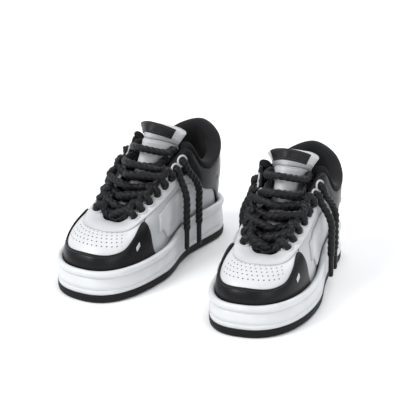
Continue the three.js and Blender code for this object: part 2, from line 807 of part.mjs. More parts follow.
// Turns a geometry's faces over, as a mirror image needs.
function turnedOver(geometry) {
  const g = geometry.index ? geometry.toNonIndexed() : geometry.clone();
  const p = g.attributes.position;
  for (let i = 0; i < p.count; i += 3) {
    const [x, y, z] = [p.getX(i), p.getY(i), p.getZ(i)];
    p.setXYZ(i, p.getX(i + 1), p.getY(i + 1), p.getZ(i + 1));
    p.setXYZ(i + 1, x, y, z);
  }
  return g;
}

function placed(geometry, side) {
  const bare = new THREE.BufferGeometry();
  const source = geometry.index ? geometry.toNonIndexed() : geometry;
  bare.setAttribute("position", source.attributes.position.clone());
  if (side < 0) bare.scale(-1, 1, 1);
  bare.rotateZ((side * TOE_OUT_DEGREES * Math.PI) / 180);
  bare.translate((side * SHOE_SPACING) / 2, (-side * LEFT_SHOE_LEAD) / 2, 0);
  return side < 0 ? turnedOver(bare) : bare;
}

const pair = new THREE.Group();
pair.name = "cheer_shoes";
const pieces = shoePieces();
for (const [side, foot] of [
  [-1, "right"],
  [1, "left"],
])
  for (const [piece, geometry] of Object.entries(pieces)) {
    const mesh = new THREE.Mesh(placed(geometry, side), finish(piece));
    mesh.name = `${foot}_${piece}`;
    pair.add(mesh);
  }

// The pair's middle is the origin; the hanging laces don't count.
const extent = new THREE.Box3();
for (const mesh of pair.children)
  if (!/lace|aglet/.test(mesh.name)) extent.expandByObject(mesh);
const middle = extent.getCenter(new THREE.Vector3());
for (const mesh of pair.children) mesh.geometry.translate(-middle.x, -middle.y, 0);

export default pair;
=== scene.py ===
"""A pair of low cheer trainers with thick twisted-rope laces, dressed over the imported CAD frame.

Each shoe is one set of surfaces in its own frame (millimetres, toe towards -Y, outer side at +X), which is
then mirrored for the right foot, turned, and put in its place in the row frame.
"""

import logging
import math
from dataclasses import dataclass, field
from enum import Enum
from typing import Callable, Sequence

import bpy
import numpy as np
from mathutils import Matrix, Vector

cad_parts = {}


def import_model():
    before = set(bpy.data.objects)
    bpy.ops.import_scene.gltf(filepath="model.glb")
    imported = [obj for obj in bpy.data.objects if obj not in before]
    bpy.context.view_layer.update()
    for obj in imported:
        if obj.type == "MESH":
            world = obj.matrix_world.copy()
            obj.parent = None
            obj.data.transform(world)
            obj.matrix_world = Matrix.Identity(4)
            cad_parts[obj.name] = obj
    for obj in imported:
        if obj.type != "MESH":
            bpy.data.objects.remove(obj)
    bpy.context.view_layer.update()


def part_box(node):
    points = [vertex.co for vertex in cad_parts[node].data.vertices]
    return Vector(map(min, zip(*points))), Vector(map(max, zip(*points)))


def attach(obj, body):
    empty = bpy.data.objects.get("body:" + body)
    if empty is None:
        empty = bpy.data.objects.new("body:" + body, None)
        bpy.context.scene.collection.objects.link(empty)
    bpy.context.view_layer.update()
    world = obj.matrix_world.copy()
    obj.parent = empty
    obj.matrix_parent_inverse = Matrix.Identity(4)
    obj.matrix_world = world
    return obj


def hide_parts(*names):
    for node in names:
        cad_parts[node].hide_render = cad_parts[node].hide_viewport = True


LOG = logging.getLogger("cheer_shoes")
Array = np.ndarray
MM = 0.001


class Foot(Enum):
    """Which foot a shoe is for, with the sign of its X place."""

    RIGHT = -1
    LEFT = 1

    @property
    def word(self) -> str:
        """The prefix of the foot's nodes."""
        return self.name.lower()


class Side(Enum):
    """Inner or outer side of one shoe."""

    MEDIAL = -1
    LATERAL = 1

    @property
    def word(self) -> str:
        """The suffix of the side's nodes."""
        return self.name.lower()


# ---- materials -----------------------------------------------------------------------------------
@dataclass(frozen=True)
class Finish:
    """One finish: its colours, its sheen and the relief of its surface.

    Args:
        name: the material's name.
        slot: the record's material slot; not used.
        colour: main colour, linear.
        shade: second colour, for mottling.
        roughness: mean roughness.
        grain_mm: size of the surface's grain.
        relief_mm: height of the grain.
        stitch_inset_mm: distance of the stitch line from the piece's edge; 0 is none.
        thread: colour of the stitches.
        holes: whether the piece is perforated.
        weave: whether the grain is a weave.
        sheen: strength of a textile's sheen.
    """

    name: str
    slot: str
    colour: tuple[float, float, float]
    shade: tuple[float, float, float]
    roughness: float
    grain_mm: float = 1.0
    relief_mm: float = 0.08
    stitch_inset_mm: float = 0.0
    thread: tuple[float, float, float] = (0.6, 0.6, 0.6)
    holes: bool = False
    weave: bool = False
    sheen: float = 0.0

    @property
    def specular(self) -> float:
        """Strength of the reflection: the black pieces are dyed through and reflect less."""
        return 0.5 if self.colour[0] > 0.1 else 0.2


WHITE = (0.60, 0.60, 0.61)
WHITE_SHADE = (0.44, 0.44, 0.46)
GREY = (0.44, 0.45, 0.46)
GREY_SHADE = (0.31, 0.32, 0.33)
BLACK = (0.005, 0.005, 0.0055)
BLACK_SHADE = (0.012, 0.012, 0.013)

FINISHES = {
    f.name: f
    for f in (
        Finish("outsole_rubber", "black_rubber", BLACK, BLACK_SHADE, 0.62, 0.7, 0.06),
        Finish("cupsole_rubber", "white_rubber", (0.62, 0.63, 0.64), (0.46, 0.47, 0.48), 0.45, 0.5, 0.05),
        Finish("vamp_leather", "white_leather", WHITE, WHITE_SHADE, 0.42, 1.1, 0.10, holes=True),
        Finish("stay_leather", "white_leather", WHITE, WHITE_SHADE, 0.38, 1.1, 0.09, 2.4, (0.7, 0.7, 0.7)),
        Finish("quarter_leather", "grey_leather", GREY, GREY_SHADE, 0.40, 1.1, 0.09),
        Finish(
            "panel_leather", "grey_leather", (0.50, 0.51, 0.52), GREY_SHADE,
            0.36, 1.1, 0.08, 2.4, (0.5, 0.5, 0.5),
        ),
        Finish(
            "black_leather", "black_leather", BLACK, BLACK_SHADE,
            0.34, 1.2, 0.11, 2.4, (0.03, 0.03, 0.03),
        ),
        Finish(
            "collar_textile", "black_textile", (0.005, 0.005, 0.006), BLACK_SHADE,
            0.8, 1.3, 0.12, weave=True, sheen=0.06,
        ),
        Finish(
            "lining_textile", "black_textile", (0.004, 0.004, 0.004), BLACK_SHADE,
            0.9, 1.6, 0.12, weave=True, sheen=0.03,
        ),
        Finish(
            "tongue_textile", "white_textile", (0.56, 0.56, 0.57), WHITE_SHADE,
            0.7, 1.5, 0.14, 2.6, weave=True, sheen=0.15,
        ),
        Finish(
            "label_satin", "black_label", (0.009, 0.009, 0.010), BLACK_SHADE,
            0.4, 0.6, 0.05, 1.8, (0.04, 0.04, 0.04), weave=True,
        ),
        Finish("piping_trim", "white_trim", WHITE, WHITE_SHADE, 0.5, 0.8, 0.06, weave=True),
        Finish(
            "rope", "black_rope", (0.006, 0.006, 0.007), (0.020, 0.020, 0.022),
            0.42, 0.55, 0.14, sheen=0.08,
        ),
        Finish("aglet_plastic", "black_plastic", (0.008, 0.008, 0.009), BLACK_SHADE, 0.18, 2.0, 0.02),
        Finish("eyelet_trim", "white_leather", (0.50, 0.50, 0.51), GREY_SHADE, 0.3, 0.9, 0.03),
    )
}


class MaterialMaker:
    """Builds each finish once, from shared node groups."""

    def __init__(self) -> None:
        """Makes the shared groups."""
        self.made: dict[str, bpy.types.Material] = {}
        self.grain = self._grain_group()
        self.stitch = self._stitch_group()
        self.holes = self._hole_group()

    @staticmethod
    def _group(name: str, inputs: Sequence[tuple], outputs: Sequence[str]) -> tuple:
        """Starts a shader group.

        Args:
            name: the group's name.
            inputs: (name, socket type, default) of each input.
            outputs: name of each value that it puts out.

        Returns:
            The group, its input node, its output node, and a function that adds a maths node.
        """
        tree = bpy.data.node_groups.new(name, "ShaderNodeTree")
        for label, kind, default in inputs:
            socket = tree.interface.new_socket(name=label, in_out="INPUT", socket_type=kind)
            socket.default_value = default
        for label in outputs:
            tree.interface.new_socket(name=label, in_out="OUTPUT", socket_type="NodeSocketFloat")
        entry, leave = tree.nodes.new("NodeGroupInput"), tree.nodes.new("NodeGroupOutput")

        def math_node(operation: str, *values, clamp: bool = False):
            node = tree.nodes.new("ShaderNodeMath")
            node.operation = operation
            node.use_clamp = clamp
            for i, value in enumerate(values):
                if isinstance(value, (int, float)):
                    node.inputs[i].default_value = value
                else:
                    tree.links.new(value, node.inputs[i])
            return node.outputs[0]

        return tree, entry, leave, math_node

    def _grain_group(self) -> bpy.types.NodeTree:
        """Pebbled or woven relief: cells of the grain's size, with broad soft unevenness over them."""
        tree, entry, leave, m = self._group(
            "surface_grain",
            [("Size", "NodeSocketFloat", 1.0), ("Weave", "NodeSocketFloat", 0.0)],
            ["Height", "Mottle"],
        )
        place = tree.nodes.new("ShaderNodeTexCoord").outputs["Object"]
        scale = m("DIVIDE", 1000.0, entry.outputs["Size"])
        cells = tree.nodes.new("ShaderNodeTexVoronoi")
        cells.feature = "SMOOTH_F1"
        tree.links.new(place, cells.inputs["Vector"])
        tree.links.new(scale, cells.inputs["Scale"])
        broad = tree.nodes.new("ShaderNodeTexNoise")
        broad.inputs["Scale"].default_value = 60.0
        broad.inputs["Detail"].default_value = 4.0
        tree.links.new(place, broad.inputs["Vector"])
        waves = []
        for direction in ("X", "Z"):
            wave = tree.nodes.new("ShaderNodeTexWave")
            wave.bands_direction = direction
            tree.links.new(place, wave.inputs["Vector"])
            tree.links.new(m("MULTIPLY", scale, 0.32), wave.inputs["Scale"])
            wave.inputs["Distortion"].default_value = 1.5
            waves.append(wave.outputs["Fac"])
        woven = m("MULTIPLY", waves[0], waves[1])
        pebbled = m("SUBTRACT", 1.0, cells.outputs["Distance"])
        mixed = m(
            "ADD",
            m("MULTIPLY", woven, entry.outputs["Weave"]),
            m("MULTIPLY", pebbled, m("SUBTRACT", 1.0, entry.outputs["Weave"])),
        )
        tree.links.new(m("ADD", mixed, m("MULTIPLY", broad.outputs["Fac"], 0.8)), leave.inputs["Height"])
        tree.links.new(
            m("MULTIPLY", m("SUBTRACT", broad.outputs["Fac"], 0.35), 1.6, clamp=True), leave.inputs["Mottle"]
        )
        return tree

    def _stitch_group(self) -> bpy.types.NodeTree:
        """A stitch line that follows the piece's edge: dashes in a shallow sunk groove."""
        tree, entry, leave, m = self._group(
            "edge_stitches", [("Inset", "NodeSocketFloat", 2.4)], ["Thread", "Height"]
        )
        edge = tree.nodes.new("ShaderNodeAttribute")
        edge.attribute_name = "edge_mm"
        seam = tree.nodes.new("ShaderNodeAttribute")
        seam.attribute_name = "seam_mm"
        off = m("ABSOLUTE", m("SUBTRACT", edge.outputs["Fac"], entry.outputs["Inset"]))
        line = m("SUBTRACT", 1.0, m("DIVIDE", off, 0.42), clamp=True)
        groove = m("SUBTRACT", 1.0, m("DIVIDE", off, 0.95), clamp=True)
        beat = m("FRACT", m("DIVIDE", seam.outputs["Fac"], 2.9))
        dash = m("SUBTRACT", 1.0, m("MULTIPLY", m("ABSOLUTE", m("SUBTRACT", beat, 0.5)), 2.3), clamp=True)
        thread = m("MULTIPLY", m("POWER", dash, 0.5), m("POWER", line, 0.5))
        tree.links.new(m("GREATER_THAN", thread, 0.35), leave.inputs["Thread"])
        height = m("SUBTRACT", m("MULTIPLY", thread, 1.5), m("MULTIPLY", groove, 1.4))
        tree.links.new(height, leave.inputs["Height"])
        return tree

    def _hole_group(self) -> bpy.types.NodeTree:
        """Small round perforations in rows, on the part of the piece that its own mask allows."""
        tree, entry, leave, m = self._group("perforations", [("Pitch", "NodeSocketFloat", 5.2)], ["Hole"])
        uv = tree.nodes.new("ShaderNodeUVMap")
        parts = tree.nodes.new("ShaderNodeSeparateXYZ")
        tree.links.new(uv.outputs["UV"], parts.inputs["Vector"])
        allowed = tree.nodes.new("ShaderNodeAttribute")
        allowed.attribute_name = "holes"
        row = m("DIVIDE", m("MULTIPLY", parts.outputs["Y"], 1000.0), entry.outputs["Pitch"])
        odd = m("MULTIPLY", m("MODULO", m("FLOOR", row), 2.0), 0.5)
        column = m("ADD", m("DIVIDE", m("MULTIPLY", parts.outputs["X"], 1000.0), entry.outputs["Pitch"]), odd)
        dx = m("SUBTRACT", m("FRACT", column), 0.5)
        dy = m("SUBTRACT", m("FRACT", row), 0.5)
        distance = m("SQRT", m("ADD", m("MULTIPLY", dx, dx), m("MULTIPLY", dy, dy)))
        hole = m("SUBTRACT", 1.0, m("MULTIPLY", m("SUBTRACT", distance, 0.11), 25.0), clamp=True)
        tree.links.new(m("MULTIPLY", hole, allowed.outputs["Fac"]), leave.inputs["Hole"])
        return tree

    def get(self, finish: Finish) -> bpy.types.Material:
        """The material of a finish.

        Args:
            finish: what it looks like.

        Returns:
            The material, made at its first use.
        """
        if finish.name in self.made:
            return self.made[finish.name]
        mat = bpy.data.materials.new(finish.name)
        mat.use_nodes = True
        nodes, links = mat.node_tree.nodes, mat.node_tree.links
        bsdf = nodes["Principled BSDF"]
        grain = nodes.new("ShaderNodeGroup")
        grain.node_tree = self.grain
        grain.inputs["Size"].default_value = finish.grain_mm
        grain.inputs["Weave"].default_value = 1.0 if finish.weave else 0.0
        bsdf.inputs["Sheen Weight"].default_value = finish.sheen
        bsdf.inputs["Sheen Roughness"].default_value = 0.4
        bsdf.inputs["Specular IOR Level"].default_value = finish.specular

        def mix(factor, a, b):
            node = nodes.new("ShaderNodeMix")
            node.data_type = "RGBA"
            links.new(factor, node.inputs[0])
            for value, socket in ((a, node.inputs[6]), (b, node.inputs[7])):
                if isinstance(value, tuple):
                    socket.default_value = (*value, 1.0)
                else:
                    links.new(value, socket)
            return node.outputs[2]

        def calc(operation, a, b):
            node = nodes.new("ShaderNodeMath")
            node.operation = operation
            for i, value in enumerate((a, b)):
                if isinstance(value, float):
                    node.inputs[i].default_value = value
                else:
                    links.new(value, node.inputs[i])
            return node.outputs[0]

        # Painted shade: the colour falls to 0.35 of itself where the shade attribute is high, in pleats,
        # along piece edges and between rope strands.
        crease = nodes.new("ShaderNodeAttribute")
        crease.attribute_name = "crease"
        mottle = tuple(0.5 * (a + b) for a, b in zip(finish.colour, finish.shade))
        colour = mix(grain.outputs["Mottle"], finish.colour, mottle)
        colour = mix(crease.outputs["Fac"], colour, tuple(0.35 * c for c in finish.colour))
        height = calc("MULTIPLY", grain.outputs["Height"], finish.relief_mm * MM)
        if finish.stitch_inset_mm:
            stitch = nodes.new("ShaderNodeGroup")
            stitch.node_tree = self.stitch
            stitch.inputs["Inset"].default_value = finish.stitch_inset_mm
            colour = mix(stitch.outputs["Thread"], colour, finish.thread)
            height = calc("ADD", height, calc("MULTIPLY", stitch.outputs["Height"], 0.35 * MM))
        if finish.holes:
            hole = nodes.new("ShaderNodeGroup")
            hole.node_tree = self.holes
            colour = mix(hole.outputs["Hole"], colour, (0.03, 0.03, 0.03))
            height = calc("SUBTRACT", height, calc("MULTIPLY", hole.outputs["Hole"], 0.6 * MM))
        links.new(colour, bsdf.inputs["Base Color"])
        rough = calc("ADD", calc("MULTIPLY", grain.outputs["Mottle"], 0.14), finish.roughness - 0.05)
        links.new(rough, bsdf.inputs["Roughness"])
        bump = nodes.new("ShaderNodeBump")
        bump.inputs["Distance"].default_value = 1.0
        bump.inputs["Strength"].default_value = 1.0
        links.new(height, bump.inputs["Height"])
        links.new(bump.outputs["Normal"], bsdf.inputs["Normal"])
        self.made[finish.name] = mat
        return mat


# ---- numeric helpers -----------------------------------------------------------------------------
def smooth(knots: Sequence[float], values: Sequence[float], level: bool = True) -> Callable[[Array], Array]:
    """A smooth curve through (knot, value) pairs.

    Each span is a cubic whose slope at a knot is the chord of its two neighbours. The ends are level, or
    keep their own chord's slope.

    Args:
        knots: rising places.
        values: value at each.
        level: whether the ends are level.

    Returns:
        A function of a whole array.
    """
    k, v = np.asarray(knots, float), np.asarray(values, float)
    slope = np.empty_like(v)
    slope[1:-1] = (v[2:] - v[:-2]) / (k[2:] - k[:-2])
    slope[0] = 0.0 if level else (v[1] - v[0]) / (k[1] - k[0])
    slope[-1] = 0.0 if level else (v[-1] - v[-2]) / (k[-1] - k[-2])

    def at(x: Array) -> Array:
        x = np.clip(x, k[0], k[-1])
        i = np.clip(np.searchsorted(k, x, side="right") - 1, 0, len(k) - 2)
        h = k[i + 1] - k[i]
        t = (x - k[i]) / h
        return (
            v[i] * (2 * t**3 - 3 * t**2 + 1)
            + h * slope[i] * (t**3 - 2 * t**2 + t)
            + v[i + 1] * (3 * t**2 - 2 * t**3)
            + h * slope[i + 1] * (t**3 - t**2)
        )

    return at


def unit(v: Array) -> Array:
    """Vectors of length one."""
    return v / np.maximum(np.linalg.norm(v, axis=-1, keepdims=True), 1e-9)


def grid_lengths(grid: Array) -> tuple[Array, Array]:
    """Lengths along a grid of points, from its first row and from its first column."""
    rows = np.cumsum(np.linalg.norm(np.diff(grid, axis=0), axis=-1), 0)
    columns = np.cumsum(np.linalg.norm(np.diff(grid, axis=1), axis=-1), 1)
    return np.pad(rows, ((1, 0), (0, 0))), np.pad(columns, ((0, 0), (1, 0)))


def grid_normals(points: Array) -> Array:
    """Normals of a grid of points, from the cross product of its two differences."""
    return unit(np.cross(np.gradient(points, axis=0), np.gradient(points, axis=1)))


def step(x: Array, low: float, high: float) -> Array:
    """Rises smoothly from 0 at low to 1 at high."""
    t = np.clip((x - low) / (high - low), 0, 1)
    return t * t * (3 - 2 * t)


# ---- the shoe's form -----------------------------------------------------------------------------
@dataclass
class ShoeForm:
    """Sizes and surfaces of one shoe, in millimetres, toe towards -Y and outer side at +X.

    A place round the shoe is w: 0 at the toe, 1 at the heel by the outer side, and on up the inner side to 2.
    """

    length: float = 255.0
    ball_width: float = 106.0
    heel_width: float = 77.0
    outsole: float = 9.0
    sole_top: float = 35.0
    heel_rise: float = 6.0
    feather: float = 29.2
    upper_inset: float = 10.85
    collar_height: float = 116.0
    ankle_height: float = 91.0
    stay_height: float = 121.0
    throat_height: float = 60.0
    throat_y: float = -58.0
    tongue_height: float = 150.0
    tongue_half: float = 29.0
    tongue_room: float = 11.7
    base_thick: float = 1.6
    overlay_thick: float = 2.4
    rows: int = 8
    first_eyelet: float = 0.235
    last_eyelet: float = 0.628
    eyelet_inset: float = 8.5
    toe_out: float = 6.8
    spacing: float = 166.0
    lead: float = 12.0

    def __post_init__(self) -> None:
        """Works out the curves from the sizes."""
        at = [0, 0.11, 0.19, 0.28, 0.4, 0.52, 0.62, 0.68, 0.74, 0.81, 0.89, 0.95, 1]
        rise, collar = self.stay_height - self.throat_height, self.collar_height - self.ankle_height
        self.rim_x = smooth(at, [0, 9, 14.5, 17, 19, 22, 26, 31, 36, 37.5, 32.5, 20.5, 0], False)
        along = np.array([0, 0.5, 6, 20, 43, 66, 84, 96, 111, 129, 152, 167, 174])
        self.rim_y = smooth(at, self.throat_y + along)
        front = self.throat_height + rise * np.array([0, 0.01, 0.06, 0.2, 0.44, 0.7, 0.93, 1.0])
        back = self.ankle_height + collar * np.array([0.3, 0, 0.3, 0.74, 1.0])
        self.rim_z = smooth(at, [*front, *back])
        bulge = [0, 0.19, 0.28, 0.4, 0.52, 0.66, 0.8, 0.92, 1]
        self.low_up = smooth(bulge, [25, 24, 25, 26, 26, 28, 26, 36, 40])
        self.high_out = smooth(bulge, [36, 28, 22, 18, 15, 9, 1.5, 3, 4])
        self.high_up = smooth(bulge, [4, 2, -1, -6, -12, -22, -22, -26, -28])
        crown = [0, 0.11, 0.19, 0.28, 0.4, 0.52, 0.62, 0.68]
        self.crown_y = smooth(crown, [-78, -62, -52, -40, -23, -8, 3, 9], False)
        self.crown_z = smooth(crown, [44.5, 46.5, 51, 60, 80.5, 103, 122.5, 133], False)

    def outline(self, w: Array, inset: Array | float = 0.0) -> Array:
        """The footprint: half an oval of a superellipse at the toe, another at the heel, and a waist between.

        Args:
            w: places round the shoe.
            inset: distance inside the outsole's edge.

        Returns:
            (..., 2) places.
        """
        v = np.where(w > 1, w - 2, np.where(w < -1, w + 2, w))
        along, side = np.abs(v), np.where(v < 0, -1.0, 1.0)
        toe_share, heel_share = 0.38, 0.2
        toe_len, heel_len = 0.35 * self.length, 0.16 * self.length
        ball_y, heel_y = -self.length / 2 + toe_len, self.length / 2 - heel_len
        ball_x, heel_x = self.ball_width / 2 - inset, self.heel_width / 2 - inset
        toe_turn = np.clip(along / toe_share, 0, 1) * math.pi / 2
        heel_turn = np.clip((1 - along) / heel_share, 0, 1) * math.pi / 2
        t = np.clip((along - toe_share) / (1 - heel_share - toe_share), 0, 1)
        waist = np.where(side > 0, 3.0, 7.0)
        mid_x = ball_x + (heel_x - ball_x) * t * t * (3 - 2 * t) - waist * np.sin(math.pi * t) ** 2
        mid_y = ball_y + (heel_y - ball_y) * t
        in_toe, in_heel = along < toe_share, along > 1 - heel_share
        x = np.where(in_toe, ball_x * np.sin(toe_turn) ** (2 / 2.45), mid_x)
        x = np.where(in_heel, heel_x * np.sin(heel_turn) ** (2 / 2.3), x)
        toe_y = ball_y - (toe_len - inset) * np.maximum(0, np.cos(toe_turn)) ** (2 / 2.45)
        y = np.where(in_toe, toe_y, mid_y)
        y = np.where(in_heel, heel_y + (heel_len - inset) * np.maximum(0, np.cos(heel_turn)) ** (2 / 2.3), y)
        skew = 5.0 * np.clip((ball_y - y) / toe_len, 0, 1) ** 2
        return np.stack([side * x - skew, y], -1)

    def surface(self, w: Array, t: Array) -> Array:
        """The upper's base surface.

        A cubic arc rises at each w from the feather line (t = 0) upright, and comes to the rim (t = 1) from
        outside it: the rim is the lacing gap's edge in front and the collar's edge behind.

        Args:
            w: places round the shoe.
            t: shares of the way up.

        Returns:
            (..., 3) points.
        """
        w, t = np.broadcast_arrays(np.asarray(w, float), np.asarray(t, float))
        v = np.where(w > 1, w - 2, np.where(w < -1, w + 2, w))
        along, side = np.abs(v), np.where(v < 0, -1.0, 1.0)
        foot = self.outline(w, self.upper_inset)
        d = self.outline(w + 0.004, self.upper_inset) - self.outline(w - 0.004, self.upper_inset)
        out = unit(np.stack([d[..., 1], -d[..., 0]], -1))
        rim = np.stack([side * self.rim_x(along), self.rim_y(along), self.rim_z(along)], -1)
        low = np.concatenate([foot, np.full((*foot.shape[:-1], 1), self.feather)], -1)
        p1 = low + np.stack([0 * along, 0 * along, self.low_up(along)], -1)
        high = np.concatenate([out * self.high_out(along)[..., None], self.high_up(along)[..., None]], -1)
        p2 = rim + high
        s, t = 1 - t[..., None], t[..., None]
        return low * s**3 + p1 * (3 * s * s * t) + p2 * (3 * s * t * t) + rim * t**3

    def normal(self, w: Array, t: Array) -> Array:
        """The base surface's outward normal."""
        e = 0.006
        dw = self.surface(w + e, t) - self.surface(w - e, t)
        dt = self.surface(w, np.minimum(1, t + e)) - self.surface(w, np.maximum(0, t - e))
        return unit(np.cross(dw, dt))

    def lifted(self, w: Array, t: Array, lift: Array | float) -> Array:
        """Points at a height over the base surface."""
        return self.surface(w, t) + self.normal(w, t) * np.asarray(lift, float)[..., None]

    def eyelet(self, row: float, side: int) -> tuple[Array, Array, float, float]:
        """An eyelet's centre on the eyestay's face, its normal, and its w and t.

        Args:
            row: 0 at the toe end.
            side: 1 outer, -1 inner.
        """
        w = side * (self.first_eyelet + (self.last_eyelet - self.first_eyelet) * row / (self.rows - 1))
        t = np.linspace(1, 0.6, 401)
        away = np.linalg.norm(self.surface(w, t) - self.surface(w, 1.0), axis=-1)
        at = float(t[np.argmax(away >= self.eyelet_inset)])
        n = self.normal(np.array(w), np.array(at))
        return self.surface(w, at) + n * (self.base_thick + self.overlay_thick), n, w, at

    def tongue(self, a: Array, q: Array) -> Array:
        """The tongue's front face.

        It is a cubic from its crown, where it runs level, down to its edge beneath the eyestay. Past the last
        eyelet (a over 0.68) the same section slides up and back, and flattens and widens.

        Args:
            a: 0.1 at the toe end, 0.68 at the last eyelet, 1.68 at the free end.
            q: -1 at one edge, 1 at the other.

        Returns:
            (..., 3) points.
        """
        a, q = np.broadcast_arrays(np.asarray(a, float), np.asarray(q, float))
        at, side, t = np.minimum(a, 0.68), np.where(q < 0, -1.0, 1.0), np.abs(q)[..., None]
        near = np.maximum(at, 0.14)
        crown = np.stack([0 * at, self.crown_y(at), self.crown_z(at)], -1)
        edge = self.lifted(side * near, np.full_like(at, 0.93), -self.tongue_room)
        down = unit(self.surface(side * near, 0.85 + 0 * at) - self.surface(side * near, 1 + 0 * at))
        edge = edge + np.where((at < 0.14)[..., None], crown - np.stack(
            [0 * at, self.crown_y(np.maximum(at, 0.14)), self.crown_z(np.maximum(at, 0.14))], -1), 0)
        reach = (np.abs(edge[..., 0]) * 1.25)[..., None]
        level = np.stack([side, 0 * side, 0 * side], -1) * reach
        p = (
            crown * (2 * t**3 - 3 * t**2 + 1)
            + level * (t**3 - 2 * t**2 + t)
            + edge * (3 * t**2 - 2 * t**3)
            + down * reach * (t**3 - t**2)
        )
        free = np.maximum(0, a - 0.68)
        flat = 1 - 0.5 * free
        widen = 1 + (self.tongue_half / np.abs(edge[..., 0]) - 1) * np.clip(1.6 * (free - 0.3), 0, 1)
        x = p[..., 0] * widen
        y = crown[..., 1] + (p[..., 1] - crown[..., 1]) * flat + 15 * free
        z = crown[..., 2] + (p[..., 2] - crown[..., 2]) * flat
        z = z + (self.tongue_height - 133) * free - 7 * free * t[..., 0] ** 2
        return np.stack([x, y, z], -1)

    def over_tongue(self, row: float, q: float, height: float) -> Array:
        """A lace point over the tongue, at a row and a share q across."""
        a = self.first_eyelet + (self.last_eyelet - self.first_eyelet) * row / (self.rows - 1)
        e = 0.01
        dq = self.tongue(a, min(1, q + e)) - self.tongue(a, max(-1, q - e))
        da = self.tongue(a + e, q) - self.tongue(a - e, q)
        return self.tongue(a, q) + unit(np.cross(dq, da)) * height

    def place(self, points: Array, foot: Foot, shift: float) -> Array:
        """Puts local points in the row frame, in metres: mirrored for the right foot, turned and moved."""
        p = points.reshape(-1, 3).copy()
        p[:, 0] *= foot.value
        turn = math.radians(self.toe_out) * foot.value
        c, s = math.cos(turn), math.sin(turn)
        x, y = p[:, 0] * c - p[:, 1] * s, p[:, 0] * s + p[:, 1] * c
        p[:, 0] = x + foot.value * self.spacing / 2
        p[:, 1] = y - foot.value * self.lead / 2 - shift
        return p * MM


# ---- mesh building -------------------------------------------------------------------------------
@dataclass
class Patch:
    """A grid of outer points and inner points, with what its material reads."""

    outer: Array
    inner: Array | None
    attributes: dict[str, Array] = field(default_factory=dict)
    uv: Array | None = None
    wrap: bool = False


